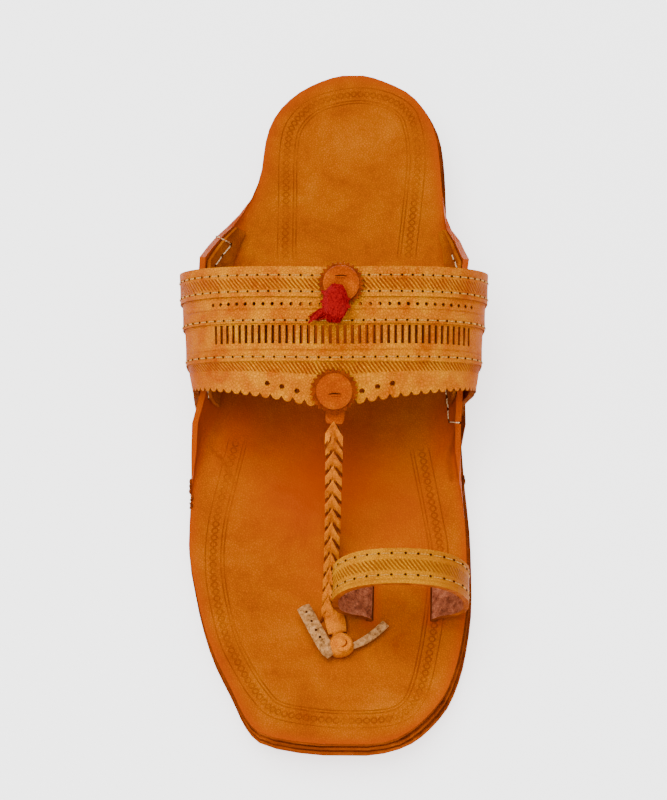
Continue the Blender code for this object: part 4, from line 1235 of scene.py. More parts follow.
    def chart_stains_and_shade(self, places: np.ndarray) -> np.ndarray:
        """Charts the stains and creases.

        Args:
            places: the vertices' X, Y and Z.

        Returns:
            The oil's share, the nearest crease's distance in millimetres, and the share of painted shade under
            the strap.
        """
        red = np.zeros(len(places))
        for across, toe, wide, long, share in self.oil:
            x, y = measured(across, toe)
            spread = ((places[:, 0] - x) / (wide * MM)) ** 2 + ((places[:, 1] - y) / (long * MM)) ** 2
            red = np.maximum(red, share * np.exp(-spread))
        crease = np.full(len(places), 9.0)
        for corners in self.creases:
            line = self.rounded(corners, 1.0 * MM)
            away = np.sqrt(((places[:, None, :2] - line[None, :, :]) ** 2).sum(2)).min(1) / MM
            crease = np.minimum(crease, away)
        # Painted shade under the strap, on the flat insole only, fading out before and behind it.
        toe_side = -places[:, 1] / MM - 1
        flat = np.clip((22.0 - places[:, 2] / MM) / 6.0, 0.0, 1.0)
        shade = np.clip((toe_side + 56.0) / 30.0, 0, 1) * np.clip((6.0 - toe_side) / 18.0, 0, 1)
        return np.column_stack([red, crease, shade**1.3 * flat])

    def build(self, grain: Material, edge: Material, back: Material) -> None:
        """Cuts the insole's copy into a grid fine enough for its border, and dresses it.

        Args:
            grain: the stamped grain side.
            edge: the cut edge.
            back: the rougher side under the ears.
        """
        piece = worked_copy("insole", "insole_leather")
        low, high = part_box("insole")
        for axis in (0, 1):
            normal = Vector([float(axis == k) for k in range(3)])
            count = int((high[axis] - low[axis]) / self.cell)
            for k in range(1, count):
                place = normal * (low[axis] + (high[axis] - low[axis]) * k / count)
                edit_mesh(bpy.ops.mesh.bisect, plane_co=place, plane_no=normal)
        mesh = piece.data
        places = np.array([v.co for v in mesh.vertices])
        stains_and_shade = self.chart_stains_and_shade(places)
        # Oil gathered in the last millimetres before the cut edge.
        rim = {k for face in mesh.polygons if abs(face.normal.z) < 0.5 for k in face.vertices}
        search = search_tree([mesh.vertices[k].co for k in rim])
        away = np.array([search.find(v.co)[2] for v in mesh.vertices]) / MM
        stains_and_shade[:, 0] = np.maximum(stains_and_shade[:, 0], 0.7 * np.exp(-((away / 3.0) ** 1.5)))
        store_chart(piece, "border", self.chart_border(places[:, :2]))
        store_chart(piece, "stains_and_shade", stains_and_shade)

        def choose(face: bpy.types.MeshPolygon) -> int:
            """Picks the back for what faces down and the edge for the low upright faces.

            Args:
                face: the face.

            Returns:
                The number of its material.
            """
            if face.normal.z < -0.25:
                return 2
            height = face.center.z - self.rise(HEEL_TO_MIDDLE - face.center.y)
            return int(abs(face.normal.z) < 0.5 and height < self.edge_height)

        dress_faces(piece, (grain, edge, back), choose)
        finish_piece(piece, Slot.INSOLE, grain, ("insole",))

    def line_ears(self, dress: Material) -> None:
        """Smooths and dresses the two facings inside the ears.

        Args:
            dress: the facings' leather.
        """
        for side in Side:
            name = f"ear_facing_{side.name.lower()}"
            finish_piece(worked_copy(name, f"{name}_leather"), Slot.INSOLE, dress, (name,))


@dataclass
class EarStitching:
    """The coarse stitches that hold the ears' facings, each from one mark to another."""

    runs: tuple[tuple[Pair, Pair], ...] = (
        ((46.0, 236.0), (60.5, 243.5)),
        ((60.0, 245.0), (52.0, 254.5)),
        ((51.0, 256.0), (44.5, 265.0)),
        ((282.5, 254.5), (284.5, 260.0)),
        ((285.5, 261.5), (287.5, 268.0)),
        ((276.0, 386.0), (277.0, 395.5)),
        ((277.3, 398.0), (278.2, 407.5)),
        ((278.4, 410.0), (279.0, 419.5)),
        ((279.5, 422.0), (290.0, 422.6)),
        ((36.6, 390.0), (37.6, 398.5)),
    )
    radius: float = 0.24 * MM
    samples: int = 6

    def build(self, view: PhotoView, thread: Material, holes: Material) -> None:
        """Sews each run onto the ear that carries it.

        Args:
            view: the photograph's camera.
            thread: the thread's material.
            holes: the holes' material.
        """
        skin = Surface(("insole", "ear_facing_lateral", "ear_facing_medial"))
        made = []
        for start, end in self.runs:
            spots = []
            for k in range(self.samples + 1):
                mark = [a + (b - a) * k / self.samples for a, b in zip(start, end)]
                spots.append(skin.hit(view.eye, view.heading(*mark)))
            if not spots[0] or not spots[-1]:
                continue
            line = [spot[0] + spot[1] * 0.25 * MM for spot in spots if spot]
            for k in (0, -1):
                line[k] = spots[k][0] - spots[k][1] * 0.3 * MM
            made.append(swept_cord(line, [self.radius] * len(line), "ear_stitch"))
            made[-1].data.materials.append(thread)
            for place, outward in (spots[0], spots[-1]):
                hole = AwlHole(0.5 * MM).model()
                hole.data.transform(axes_at(place, Vector((0.0, 1.0, 0.2)), outward))
                hole.data.materials.append(holes)
                made.append(hole)
        finish_piece(join_pieces(made, "ear_stitches"), Slot.INSOLE, thread)


@dataclass
class Strap:
    """The instep strap with its strips, four seams, tooling, round dots and slots."""

    form: StrapForm = field(default_factory=StrapForm)
    seams: tuple[float, ...] = (0.070, 0.197, 0.414, 0.680)
    stitch_pitch: float = 3.9 * MM
    reach_end: float = 0.80
    width: float = 46.0
    heart_x: float = -8.6 * MM
    heart_heights: Pair = (22.0 * MM, 24.0 * MM)
    probe: float = 9.0 * MM
    chart_rows: int = 30
    chart_steps: Pair = (0.005, 0.01)
    chart_slack: Pair = (0.01, 0.04)

    def lay(self, skin: Surface, reach: float, across: float) -> tuple[Vector, Vector] | None:
        """Finds the strap's outside at a reach and a share across, and the way out of it.

        Args:
            skin: the strap's skin.
            reach: as the form's spot takes it.
            across: as the form's spot takes it.

        Returns:
            The place and the outward direction, or None where the strap has a slot.
        """
        spot = self.form.spot(reach, across)
        around, ahead = self.form.slopes(reach, across, (0.004, 0.004))
        outward = around.cross(ahead).normalized()
        inner = Vector((MEASURE_SHIFT + self.heart_x, spot.y, self.heart_heights[0]))
        if outward.dot(spot - inner) < 0:
            outward = -outward
        found = skin.hit(spot + outward * self.probe, -outward)
        return (found[0], outward) if found else None

    def chart(self, piece: Piece) -> list[Triple]:
        """Gives each vertex's way round the arch (mm), its share across and its way across (mm).

        Args:
            piece: the strap's copy.

        Returns:
            The three numbers for each vertex.
        """
        reaches, ways = self.form.arc(0.5)
        shares = [k / self.chart_rows for k in range(-1, self.chart_rows + 2)]
        keys = [(reach, share) for reach in reaches for share in shares]
        search = search_tree([self.form.spot(*key) for key in keys])
        rows = []
        for vertex in piece.data.vertices:
            reach, share = keys[search.find(vertex.co)[1]]
            around, ahead = self.form.slopes(reach, share, self.chart_steps)
            rest = vertex.co - self.form.spot(reach, share)
            grid = Matrix(((around.dot(around), around.dot(ahead)), (around.dot(ahead), ahead.dot(ahead))))
            step = grid.inverted() @ Vector((around.dot(rest), ahead.dot(rest)))
            reach += max(-self.chart_slack[0], min(self.chart_slack[0], step.x))
            share += max(-self.chart_slack[1], min(self.chart_slack[1], step.y))
            rows.append((float(np.interp(reach, reaches, ways)) / MM, share, share * self.width))
        return rows

    def build(self, leather: Material, lining: Material, cut: Material) -> None:
        """Dresses the strap's copy: tooled outside, plain lining, darker cut edges, and slot walls in painted
        shade.

        Args:
            leather: the tooled grain side.
            lining: the inside.
            cut: the stained cut edges, which also paint the shade in the slots.
        """
        piece = worked_copy("upper", "instep_strap", 30.0)
        store_chart(piece, "strap_chart", self.chart(piece))

        def choose(face: bpy.types.MeshPolygon) -> int:
            """Picks the leather, the lining or the cut by how far the face looks out of the arch.

            Args:
                face: the face.

            Returns:
                The number of its material.
            """
            sideways = face.center.x - MEASURE_SHIFT - self.heart_x
            upward = max(0.0, face.center.z - self.heart_heights[1])
            facing = face.normal.dot(Vector((sideways, 0.0, upward)).normalized())
            return 1 if facing < -0.45 else 2 if facing < 0.45 else 0

        dress_faces(piece, (leather, lining, cut), choose)
        finish_piece(piece, Slot.STRAP, leather, ("upper",))

    def sew(self, thread: Material, holes: Material) -> None:
        """Sews the four seams across the strap.

        Args:
            thread: the thread's material.
            holes: the holes' material.
        """
        skin = Surface(("upper",))
        for number, across in enumerate(self.seams, 1):
            reaches, ways = self.form.arc(across)
            start, end = (float(np.interp(r, reaches, ways)) for r in (-self.reach_end, self.reach_end))
            count = int((end - start) / self.stitch_pitch)
            places = []
            for k in range(count):
                reach = float(np.interp(start + (k + 0.5) * (end - start) / count, ways, reaches))
                here, ahead = self.lay(skin, reach, across), self.lay(skin, reach + 0.01, across)
                if here and ahead:
                    places.append(axes_at(here[0], ahead[0] - here[0], here[1]))
            Seam().sew(places, f"strap_seam_{number}", Slot.STRAP, thread, holes)


@dataclass
class Rosette:
    """One rosette: a pinked ring under a domed disc, tied on through a slit."""

    name: str
    slit_shift: float
    spread: float
    slit_length: float = 4.6 * MM
    samples: int = 8

    def axes(self) -> Matrix:
        """Finds the disc's own placing: X round the strap, Z out of it.

        Returns:
            The placing.
        """
        places = np.array([v.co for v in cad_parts[f"rosette_{self.name}_disc"].data.vertices])
        outward = Vector(np.linalg.svd(places - places.mean(0))[2][2])
        if outward.z < 0:
            outward = -outward
        return axes_at(Vector(places.mean(0)), Vector((1.0, 0.0, 0.0)), outward)

    def build(self, disc: Material, ring: Material, dark: Material) -> None:
        """Softens the two leathers and lays the slit, a cord in painted shade, with its lip.

        Args:
            disc: the disc's leather.
            ring: the ring's leather, darkened as painted shade under the disc.
            dark: the painted shade inside the slit.
        """
        axes = self.axes()
        for part, dress in (("ring", ring), ("disc", disc)):
            node = f"rosette_{self.name}_{part}"
            piece = worked_copy(node, f"{node}_leather", 35.0)
            if part == "ring":
                # The real ring lies a little wider than it is long.
                piece.data.transform(axes @ Matrix.Diagonal((self.spread, 1.0, 1.0, 1.0)) @ axes.inverted())
            rim = {"width": 0.22 * MM, "segments": 2, "limit_method": "ANGLE", "angle_limit": math.radians(40)}
            apply_modifier(piece, "BEVEL", **rim)
            finish_piece(piece, Slot.STRAP, dress, (node,))
        skin = Surface((f"rosette_{self.name}_disc",))
        # Sizes in millimetres.
        # The slit is a thin cord painted in shade; its lip is in the disc's leather.
        parts = (("slit", 0.26, 0.02, 0.0, dark), ("lip", 0.42, 0.12, -0.62, disc))
        for part, radius, lift, drop, dress in parts:
            line = []
            for k in range(self.samples + 1):
                share = k / self.samples - 0.5
                down = self.slit_shift + drop * MM + 0.25 * MM * math.cos(math.pi * share)
                start = axes @ Vector((share * self.slit_length, down, 12 * MM))
                found = skin.hit(start, -(axes.to_3x3() @ UP))
                if found:
                    line.append(found[0] + found[1] * lift * MM)
            cord = swept_cord(line, swelled(radius * MM, len(line), 0.35), f"rosette_{self.name}_{part}")
            finish_piece(cord, Slot.STRAP, dress)


@dataclass
class Tuft:
    """The wool tuft hanging from the rear rosette, with one loose strand."""

    fibres: int = 420
    fibre_radius: float = 0.26 * MM
    fibre_length: float = 13.0 * MM
    fibre_bends: Triple = (1.2 * MM, 1.9 * MM, 2.6 * MM)
    tie: Pair = (-6.8 * MM, 1.9 * MM)
    tips: Triple = (4.6 * MM, 7.2 * MM, 2.5 * MM)
    strand_fibres: int = 34
    strand_width: float = 0.9 * MM
    strand_start: float = 2.0 * MM
    strand_end: Pair = (141.0, 319.0)
    seed: int = 7

    def reaching(self, start: Vector, out: Vector, ahead: Vector) -> Matrix:
        """Places a fibre so that it starts and ends where it should."""
        longer = ahead.length / self.fibre_length
        return axes_at(start, out, ahead) @ Matrix.Diagonal((1.0, 1.0, longer, 1.0))

    def model_fibre(self, bend: float) -> Piece:
        """Models one fibre along Z, bent to one side and a little wavy.

        Args:
            bend: how far its middle stands aside.

        Returns:
            The fibre.
        """
        line = [
            (bend * math.sin(math.pi * k / 5), 0.45 * MM * math.sin(1.7 * k), self.fibre_length * k / 5)
            for k in range(6)
        ]
        radii = [self.fibre_radius * r for r in (0.7, 1.0, 1.0, 0.95, 0.8, 0.35)]
        return swept_cord(line, radii, "fibre_master", 0)

    def build(self, wool: Material, view: PhotoView) -> None:
        """Fans fibres from the tie round a core, and along the loose strand.

        Args:
            wool: the yarn's material.
            view: the photograph's camera, which places the strand's end.
        """
        core = worked_copy("pompom", "tuft_core", 60.0)
        places = np.array([v.co for v in core.data.vertices])
        finish_piece(core, Slot.WOOL, wool, ("pompom",))
        heart = Vector(np.median(places, axis=0))
        axis = Vector(np.linalg.svd(places - places.mean(0))[2][0])
        if axis.y > 0:
            axis = -axis
        side = axis.orthogonal().normalized()
        other = axis.cross(side)
        chance = random.Random(self.seed)
        masters = [(self.model_fibre(bend), []) for bend in self.fibre_bends]
        nearest, farthest, wide = self.tips
        for _ in range(self.fibres):
            angle = chance.uniform(0, 2 * math.pi)
            spread = math.sqrt(chance.random())
            out = side * math.cos(angle) + other * math.sin(angle)
            start = heart + axis * self.tie[0] + out * self.tie[1] * spread
            end = heart + axis * chance.uniform(nearest, farthest) + out * wide * spread
            masters[chance.randrange(3)][1].append(self.reaching(start, out, end - start))
        tip = Surface(("upper",)).hit(view.eye, view.heading(*self.strand_end))[0] + UP * self.strand_width
        for _ in range(self.strand_fibres):
            out = Vector([chance.uniform(-1, 1) for _ in range(3)])
            start = heart + axis * self.strand_start + out * self.strand_width
            end = tip + Vector([chance.uniform(-1, 1) for _ in range(3)]) * self.strand_width
            masters[0][1].append(self.reaching(start, out.normalized(), end - start))
        for number, (master, spots) in enumerate(masters, 1):
            finish_piece(copies_of(master, spots, f"tuft_fibres_{number}"), Slot.WOOL, wool)


@dataclass
class ToeLoop:
    """The toe loop: one band with two seams and tooling, grain side out."""

    centre: float = 17.4 * MM
    along: float = 218.8 * MM
    band: float = 13.5 * MM
    heart_height: float = 26.0 * MM
    seams: Pair = (0.15, 0.76)
    stitch_pitch: float = 4.5 * MM
    samples: int = 180

    def heart(self, share: float = 0.5) -> Vector:
        """Gives the middle of the loop at a share across its band, counted from the heel's side."""
        y = HEEL_TO_MIDDLE - self.along + (0.5 - share) * self.band
        return Vector((self.centre + MEASURE_SHIFT, y, self.heart_height))

    def outline(self, skin: Surface, share: float) -> list[tuple[Vector, Vector]]:
        """Walks over the loop's outside from its lateral to its medial foot.

        Args:
            skin: the loop's skin.
            share: the place across the band, counted from the heel's side.

        Returns:
            Places on the loop, each with its outward direction.
        """
        line = []
        for k in range(self.samples + 1):
            angle = math.radians(-118 + 236 * k / self.samples)
            out = Vector((math.sin(angle), 0.0, math.cos(angle)))
            found = skin.hit(self.heart(share) + out * 60 * MM, -out)
            if found:
                line.append((found[0], Vector((found[1].x, 0, found[1].z)).normalized()))
        return line

    def build(self, leather: Material, flesh: Material, cut: Material) -> None:
        """Dresses the loop's copy: tooled grain side, flesh side and two cut edges.

        Args:
            leather: the tooled grain side.
            flesh: the inside.
            cut: the cut edges.
        """
        piece = worked_copy("toe_loop", "toe_loop_leather", 50.0)
        heart = self.heart()
        places = [place for place, _ in self.outline(Surface(("toe_loop",)), 0.5)]
        ways = ways_along(places)
        search = search_tree(places)
        rows = []
        for vertex in piece.data.vertices:
            share = 0.5 - (vertex.co.y - heart.y) / self.band
            near = search.find(Vector((vertex.co.x, heart.y, vertex.co.z)))[1]
            rows.append((ways[near] / MM, share, share * self.band / MM))
        store_chart(piece, "loop_chart", rows)

        def choose(face: bpy.types.MeshPolygon) -> int:
            """Picks the cut for the band's edges and the flesh for its inside."""
            out = Vector((face.center.x - heart.x, 0.0, face.center.z - heart.z)).normalized()
            return 2 if abs(face.normal.y) > 0.7 else int(face.normal.dot(out) < -0.2)

        dress_faces(piece, (leather, flesh, cut), choose)
        finish_piece(piece, Slot.LOOP, leather, ("toe_loop",))

    def sew(self, thread: Material, holes: Material) -> None:
        """Sews the loop's two seams.

        Args:
            thread: the thread's material.
            holes: the holes' material.
        """
        skin = Surface(("toe_loop",))
        seam = Seam(ThreadStitch(3.4 * MM, 0.2 * MM), AwlHole(0.5 * MM), 2.2 * MM)
        for number, share in enumerate(self.seams, 1):
            line = self.outline(skin, share)
            ways = ways_along([place for place, _ in line])
            count = int(ways[-1] / self.stitch_pitch)
            places = []
            for k in range(count):
                near = index_at(ways, (k + 0.5) * ways[-1] / count)
                places.append(axes_at(line[near][0], line[near + 1][0] - line[near - 1][0], line[near][1]))
            seam.sew(places, f"loop_seam_{number}", Slot.LOOP, thread, holes)


@dataclass
class Thong:
    """A narrow leather strip laid along a line."""

    thick: float

    def lay(self, name: str, line: Sequence[Vector], widths: Sequence[float], curl: float) -> Piece:
        """Shapes a grid along the line and gives it its thickness.

        Args:
            name: the piece's name.
            line: the strip's middle line.
            widths: its width at each point, in millimetres.
            curl: how far its sides bend down, in metres.

        Returns:
            The strip.
        """
        clear_selection()
        last = len(line) - 1
        bpy.ops.mesh.primitive_grid_add(x_subdivisions=last, y_subdivisions=4, size=1.0)
        piece = bpy.context.object
        piece.name = name
        for vertex in piece.data.vertices:
            k = round((vertex.co.x + 0.5) * last)
            side = vertex.co.y * 2
            run = (line[min(last, k + 1)] - line[max(0, k - 1)]).normalized()
            sideways = UP.cross(run).normalized()
            up = run.cross(sideways)
            vertex.co = line[k] + sideways * side * widths[k] * MM / 2 - up * curl * side * side
        apply_modifier(piece, "SOLIDIFY", thickness=self.thick, offset=1.0)
        apply_modifier(piece, "BEVEL", width=0.22 * self.thick, segments=2, limit_method="ANGLE")
        apply_modifier(piece, "SUBSURF", levels=1, render_levels=1)
        bpy.ops.object.shade_smooth()
        return piece


@dataclass
class Braid:
    """The braided thong: plump arms laid in chevrons, their points to the heel."""

    start: float = 161.9 * MM
    end: float = 224.0 * MM
    sides: Pair = (-7.1 * MM, -10.3 * MM)
    widths: Pair = (6.6 * MM, 5.2 * MM)
    pitch: float = 5.45 * MM
    slope: float = math.radians(35.0)
    root: float = 5.0 * MM
    root_widths: tuple[float, ...] = (5.2, 5.6, 5.9, 6.0, 5.9, 5.4, 4.2)
    sunk: float = 0.9 * MM
    reach: float = 6.0 * MM
    lift: float = 1.15 * MM
    overlap: float = 0.3 * MM
    roll: float = 1.6 * MM
    thick: float = 1.0 * MM
    samples: int = 140
    smoothing: int = 13

    def walk(self) -> list[Vector]:
        """Walks along the braid's top from the strap to its end, over its bumps.

        Returns:
            The points of the walk.
        """
        skin = Surface(("braid",))
        line = []
        for k in range(self.samples + 1):
            share = k / self.samples
            x = self.sides[0] + (self.sides[1] - self.sides[0]) * share + MEASURE_SHIFT
            y = HEEL_TO_MIDDLE - (self.start + (self.end - self.start) * share)
            found = skin.hit(Vector((x, y, 0.12)), -UP)
            if found:
                line.append(found[0])
        heights = np.pad([place.z for place in line], self.smoothing // 2, mode="edge")
        smooth = np.convolve(heights, np.ones(self.smoothing) / self.smoothing, mode="valid")
        return [Vector((place.x, place.y, height)) for place, height in zip(line, smooth)]

    def model_arm(self, side: Side, leather: Material, thong_and_crevice_shade: Material) -> Piece:
        """Models one arm, from the braid's middle line to its side.

        Args:
            side: the side of the braid that it goes to.
            leather: the thong's material.
            thong_and_crevice_shade: the painted shade where it dips under the next arm.

        Returns:
            The arm, with the toe along X and the braid's middle at Y = 0.
        """
        clear_selection()
        bpy.ops.mesh.primitive_grid_add(x_subdivisions=6, y_subdivisions=6, size=1.0)
        piece = bpy.context.object
        half = self.widths[0] / 2
        for vertex in piece.data.vertices:
            ahead, out = vertex.co.x + 0.5, vertex.co.y + 0.5
            across = (half + self.overlap) * out - self.overlap
            # Each arm starts high at its edge to the heel and dips under the next one.
            lift = self.lift * (1.0 - 1.9 * ahead**1.3) + self.overlap
            drop = self.roll * max(0.0, across / half) ** 2.6
            vertex.co = (self.reach * ahead + across / math.tan(self.slope), side.value * across, lift - drop)
        edit_mesh(bpy.ops.mesh.normals_make_consistent, inside=False)
        if piece.data.polygons[0].normal.z < 0:
            piece.data.flip_normals()

        def choose(face: bpy.types.MeshPolygon) -> int:
            """Picks the painted shade for the arm's end, away from the middle line.

            Args:
                face: the face.

            Returns:
                The number of its material.
            """
            out = side.value * face.center.y
            ahead = (face.center.x - out / math.tan(self.slope)) / self.reach
            return int(ahead > 0.75 and out > 0.25 * half)

        dress_faces(piece, (leather, thong_and_crevice_shade), choose)
        angle = math.radians(50)
        apply_modifier(piece, "SOLIDIFY", thickness=self.thick, offset=-1.0)
        apply_modifier(piece, "BEVEL", width=0.2 * MM, segments=2, limit_method="ANGLE", angle_limit=angle)
        bpy.ops.object.shade_smooth_by_angle(angle=angle)
        piece.name = "braid_arm_master"
        return piece

    def build(self, leather: Material, thong_and_crevice_shade: Material, tab_leather: Material) -> None:
        """Lays the arms over the braid's core, and the tab that they start from.

        Args:
            leather: the thong's material.
            thong_and_crevice_shade: the painted shade deep between the arms.
            tab_leather: the tab's material.
        """
        core = worked_copy("braid", "braid_core", 30.0)
        edit_mesh(bpy.ops.transform.shrink_fatten, value=-self.sunk)
        # The sunk core shows between the arms in painted shade.
        finish_piece(core, Slot.STRAP, thong_and_crevice_shade, ("braid",))
        line = self.walk()
        ways = ways_along(line)
        count = round(ways[-1] / self.pitch)
        for side in Side:
            spots = []
            for k in range(count):
                # The arms of the two sides are laid in turn, so one side lies a little ahead.
                way = (k + 0.12 + 0.07 * side.value) * ways[-1] / count
                near = index_at(ways, way)
                run = (line[near + 1] - line[near - 1]).normalized()
                outward = run.cross(UP.cross(run).normalized())
                size = 1.0 + (self.widths[1] / self.widths[0] - 1.0) * way / ways[-1]
                spots.append(axes_at(line[near], run, outward) @ Matrix.Diagonal((1.0, size, size, 1.0)))
            arms = copies_of(self.model_arm(side, leather, thong_and_crevice_shade), spots, f"braid_arms_{side.name.lower()}")
            finish_piece(arms, Slot.STRAP, leather)
        run = (line[8] - line[0]).normalized()
        steps = [self.root * (k / 5 - 0.9) for k in range(len(self.root_widths))]
        tab = [line[0] + run * step + UP * self.overlap for step in steps]
        root = Thong(1.4 * MM).lay("thong_root", tab, self.root_widths, 0.9 * MM)
        finish_piece(root, Slot.STRAP, tab_leather)


@dataclass
class KnotAndTails:
    """The thong's knot on the insole, its flat end and its two undyed tails.

    Each row of a strip is a mark and its height over the insole in millimetres.
    """

    lateral: tuple[Triple, ...] = (
        (161.5, 654.5, 3.0), (157.5, 650.5, 4.6), (152.5, 642.5, 5.0), (147.5, 633.5, 5.2),
        (142.5, 624.5, 5.0), (137.5, 615.0, 4.6), (133.0, 607.5, 4.2),
    )
    medial: tuple[Triple, ...] = (
        (180.0, 648.5, 2.6), (186.5, 645.5, 2.4), (194.0, 642.0, 2.0),
        (201.5, 637.0, 1.7), (209.0, 631.0, 1.5), (216.0, 624.0, 1.4),
    )
    flat: tuple[Triple, ...] = (
        (163.0, 610.5, 1.0), (164.5, 618.0, 1.5), (166.0, 626.0, 1.7), (167.5, 634.0, 1.5),
    )
    flat_widths: tuple[float, ...] = (6.6, 7.4, 7.4, 6.6)
    hole_marks: tuple[Pair, ...] = ((141.5, 621.5), (146.0, 630.5), (150.0, 637.5), (136.5, 612.5))
    middle: Pair = (-4.4, 97.8)
    samples: int = 12

    def line_of(self, view: PhotoView, rows: Sequence[Triple]) -> list[Vector]:
        """Finds a strip's middle line over the insole.

        Args:
            view: the photograph's camera.
            rows: the strip's marks and heights.

        Returns:
            The line's points.
        """
        skin = Surface(("insole",))
        line = []
        for across, down, lift in rows:
            found = skin.hit(view.eye, view.heading(across, down))
            if found:
                back = (view.eye - found[0]).normalized()
                line.append(found[0] + back * (lift * MM / back.z))
        return line

    def ring(self, radius: float, start: float, end: float, height: float) -> list[Vector]:
        """Gives points on a part of a ring over the knot, between two angles in degrees.

        Args:
            radius: the ring's radius.
            start: the first angle.
            end: the last angle.
            height: its height.

        Returns:
            The points.
        """
        x, y = measured(*self.middle)
        angles = np.linspace(math.radians(start), math.radians(end), self.samples + 1)
        return [Vector((x + radius * math.cos(a), y + radius * math.sin(a), height)) for a in angles]

    def build(
        self, view: PhotoView, knot: Material, tail: Material, holes: Material, thong_and_crevice_shade: Material
    ) -> None:
        """Rounds the knot, wraps it, and lays its flat end and its tails.

        Args:
            view: the photograph's camera.
            knot: the thong's material.
            tail: the undyed tails' material.
            holes: the old stitch holes in the lateral tail.
            thong_and_crevice_shade: the painted shade in the knot's fold.
        """
        piece = worked_copy("thong_knot", "thong_knot_leather", 60.0)
        angle = math.radians(45)
        apply_modifier(piece, "BEVEL", width=1.1 * MM, segments=4, limit_method="ANGLE", angle_limit=angle)
        finish_piece(piece, Slot.STRAP, knot, ("thong_knot",))
        skin = Surface(("thong_knot",))
        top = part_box("thong_knot")[1].z
        hits = [skin.hit(start, -UP) for start in self.ring(2.7 * MM, -130, 70, top + 20 * MM)]
        wrap = [found[0] - UP * 0.25 * MM for found in hits if found]
        finish_piece(swept_cord(wrap, swelled(1.2 * MM, len(wrap), 0.45), "knot_wrap_1", 2), Slot.STRAP, knot)
        # A dark cord paints the shade in the knot's fold.
        crease = self.ring(1.5 * MM, -125, 60, top - 0.1 * MM)
        fold = swept_cord(crease, swelled(0.34 * MM, len(crease), 0.3), "knot_fold_shade")
        finish_piece(fold, Slot.STRAP, thong_and_crevice_shade)
        line = self.line_of(view, self.flat)
        flat = Thong(1.0 * MM).lay("thong_flat_end", line, self.flat_widths, 0.25 * MM)
        finish_piece(flat, Slot.STRAP, knot)
        strips = {}
        for name, rows, widths, thick, curl in (
            ("tail_lateral", self.lateral, (3.0, 3.9, 4.1, 4.0, 4.0, 3.9, 3.6), 1.5 * MM, 0.9 * MM),
            ("tail_medial", self.medial, (1.6, 2.4, 2.9, 3.1, 3.1, 3.0), 1.1 * MM, 0.15 * MM),
        ):
            strips[name] = Thong(thick).lay(f"{name}_thong", self.line_of(view, rows), widths, curl)
            finish_piece(strips[name], Slot.RAWHIDE, tail, (name,))
        tree = BVHTree.FromObject(strips["tail_lateral"], bpy.context.evaluated_depsgraph_get())
        places = []
        for mark in self.hole_marks:
            spot, normal, _, _ = tree.ray_cast(view.eye, view.heading(*mark))
            if spot is not None:
                places.append(axes_at(spot, Vector((1.0, 0.4, 0.0)), normal))
        finish_piece(copies_of(AwlHole(0.5 * MM).model(), places, "tail_stitch_holes"), Slot.RAWHIDE, holes)


def build_tongue() -> None:
    """Dresses the tongue under the strap's rear edge, with painted shade where the strap covers it."""
    tongue = worked_copy("tongue_tip", "tongue_backing")
    cover = StrapForm().spot(0.0, 0.0).y - 0.3 * MM
    edit_mesh(bpy.ops.mesh.bisect, plane_co=(0.0, cover, 0.0), plane_no=(0.0, 1.0, 0.0))
    dresses = (TONGUE_LEATHER.plain(), TONGUE_SHADE.plain())
    dress_faces(tongue, dresses, lambda face: int(face.normal.z > -0.3 and face.center.y < cover))
    finish_piece(tongue, Slot.LINING, dresses[0], ("tongue_tip",))


@dataclass
class Studio:
    """The pale floor and the soft light."""

    floor_size: float = 8.0
    sky: float = 0.42
    # Each lamp's name, place, size and power in watts.
    lamps: tuple[tuple[str, Triple, float, float], ...] = (
        ("key", (-0.24, 0.15, 1.42), 1.3, 33.0),
        ("fill", (0.9, -0.2, 0.9), 1.1, 2.0),
        ("front", (-0.2, -1.2, 0.9), 0.8, 7.0),
    )

    def build(self) -> None:
        """Makes the floor, the sky's fill and the lamps."""
        clear_selection()
        bpy.ops.mesh.primitive_plane_add(size=self.floor_size)
        floor = bpy.context.object
        floor.name = "studio_floor"
        dress, tree, place = start_material("matt_white_paper")
        clouds = add_node(tree, "ShaderNodeTexNoise", {"Vector": place, "Scale": 3.0, "Detail": 2.0})
        ramp = add_node(tree, "ShaderNodeValToRGB", {"Fac": clouds.outputs["Fac"]})
        colour = set_ramp(ramp, [(0.3, "#F6F6F6"), (0.7, "#FBFBFB")])
        glow = {"Emission Color": linear("#FFFFFF"), "Emission Strength": 2.0}
        shader = add_node(tree, "ShaderNodeBsdfPrincipled", {"Base Color": colour, "Roughness": 0.9, **glow})
        add_node(tree, "ShaderNodeOutputMaterial", {"Surface": shader.outputs["BSDF"]})
        floor.data.materials.append(dress)
        world = bpy.data.worlds.new("studio")
        bpy.context.scene.world = world
        world.use_nodes = True
        background = world.node_tree.nodes["Background"].inputs
        background["Color"].default_value = linear("#FFFFFF")
        background["Strength"].default_value = self.sky
        for name, place, size, power in self.lamps:
            clear_selection()
            bpy.ops.object.light_add(type="AREA", location=place)
            lamp = bpy.context.object
            lamp.name = f"{name}_light"
            lamp.data.size = size
            lamp.data.energy = power
            lamp.rotation_euler = (-Vector(place)).to_track_quat("-Z", "Y").to_euler()


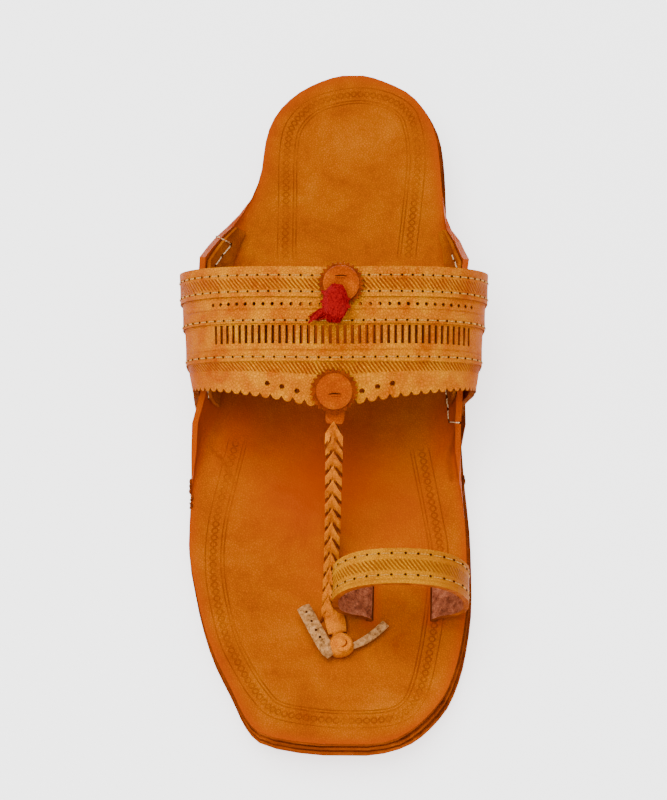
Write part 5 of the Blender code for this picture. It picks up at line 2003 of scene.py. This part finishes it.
def main() -> None:
    """Builds the camera, the studio and the sandal's pieces, in order."""
    view = PhotoView()
    view.build()
    Studio().build()
    thread = SEAM_THREAD.build()
    holes = HOLE_SHADE.plain()
    edge = SOLE_EDGE.layered()
    tan = BRAID_LEATHER.plain()
    # The sole's sewing thong, also the braid's painted shade.
    thong_and_crevice_shade = BEAD_AND_SHADE_LEATHER.plain()
    disc = ROSETTE_LEATHER.plain()
    ring = RING_LEATHER_IN_SHADE.plain()
    insole_side = EAR_BACK.plain()
    strap_grain = STRAP_LEATHER.tooled(
        chart="strap_chart",
        bands=[
            (0.0, 0.0), (0.088, 0.0), (0.100, 1.0), (0.172, 1.0), (0.186, 0.0),
            (0.712, 0.0), (0.722, 1.0), (0.790, 1.0), (0.800, 0.0),
        ],
        lines=[
            (0.0, 0.0), (0.322, 0.0), (0.332, 0.55), (0.342, 0.0),
            (0.620, 0.0), (0.630, 0.55), (0.640, 0.0),
        ],
        pitch=1.5,
        slant=-0.8,
        pressed="#8C3802",
        # Painted shade on the strap's two ends.
        shaded_ends=(0.0, 30.0, 72.0),
        end_shade_tone="#9C3C02",
    )
    loop_grain = LOOP_LEATHER.tooled(
        chart="loop_chart",
        bands=[(0.0, 0.0), (0.30, 0.0), (0.34, 1.0), (0.60, 1.0), (0.64, 0.0)],
        lines=[(0.0, 0.0), (0.86, 0.0), (0.88, 0.4), (0.90, 0.0)],
        pitch=1.6,
        slant=-0.8,
        pressed="#8E4406",
        # Painted shade on the loop's ends.
        shaded_ends=(36.0, 16.0, 38.0),
        end_shade_tone="#A05002",
    )
    Sole().build(edge, thong_and_crevice_shade, view)
    insole = Insole()
    insole.build(INSOLE_LEATHER.bordered("border", "stains_and_shade"), edge, insole_side)
    insole.line_ears(insole_side)
    EarStitching().build(view, EAR_THREAD.build(), holes)
    strap = Strap()
    strap.build(strap_grain, UNDER_STRAP.plain(), CUT_EDGE_AND_SLOT_SHADE.plain())
    strap.sew(thread, holes)
    Rosette("front", -0.9 * MM, 1.07).build(disc, ring, holes)
    Rosette("rear", 2.4 * MM, 1.02).build(disc, ring, holes)
    build_tongue()
    Tuft().build(DyedWool().build(), view)
    loop = ToeLoop()
    loop.build(loop_grain, FLESH_SIDE.plain(), LOOP_EDGE.plain())
    loop.sew(thread, holes)
    Braid().build(tan, thong_and_crevice_shade, disc)
    KnotAndTails().build(view, tan, RAWHIDE.plain(), holes, ring)


if __name__ == "__main__":
    logging.basicConfig(level=logging.INFO, format="%(name)s %(message)s")
    main()
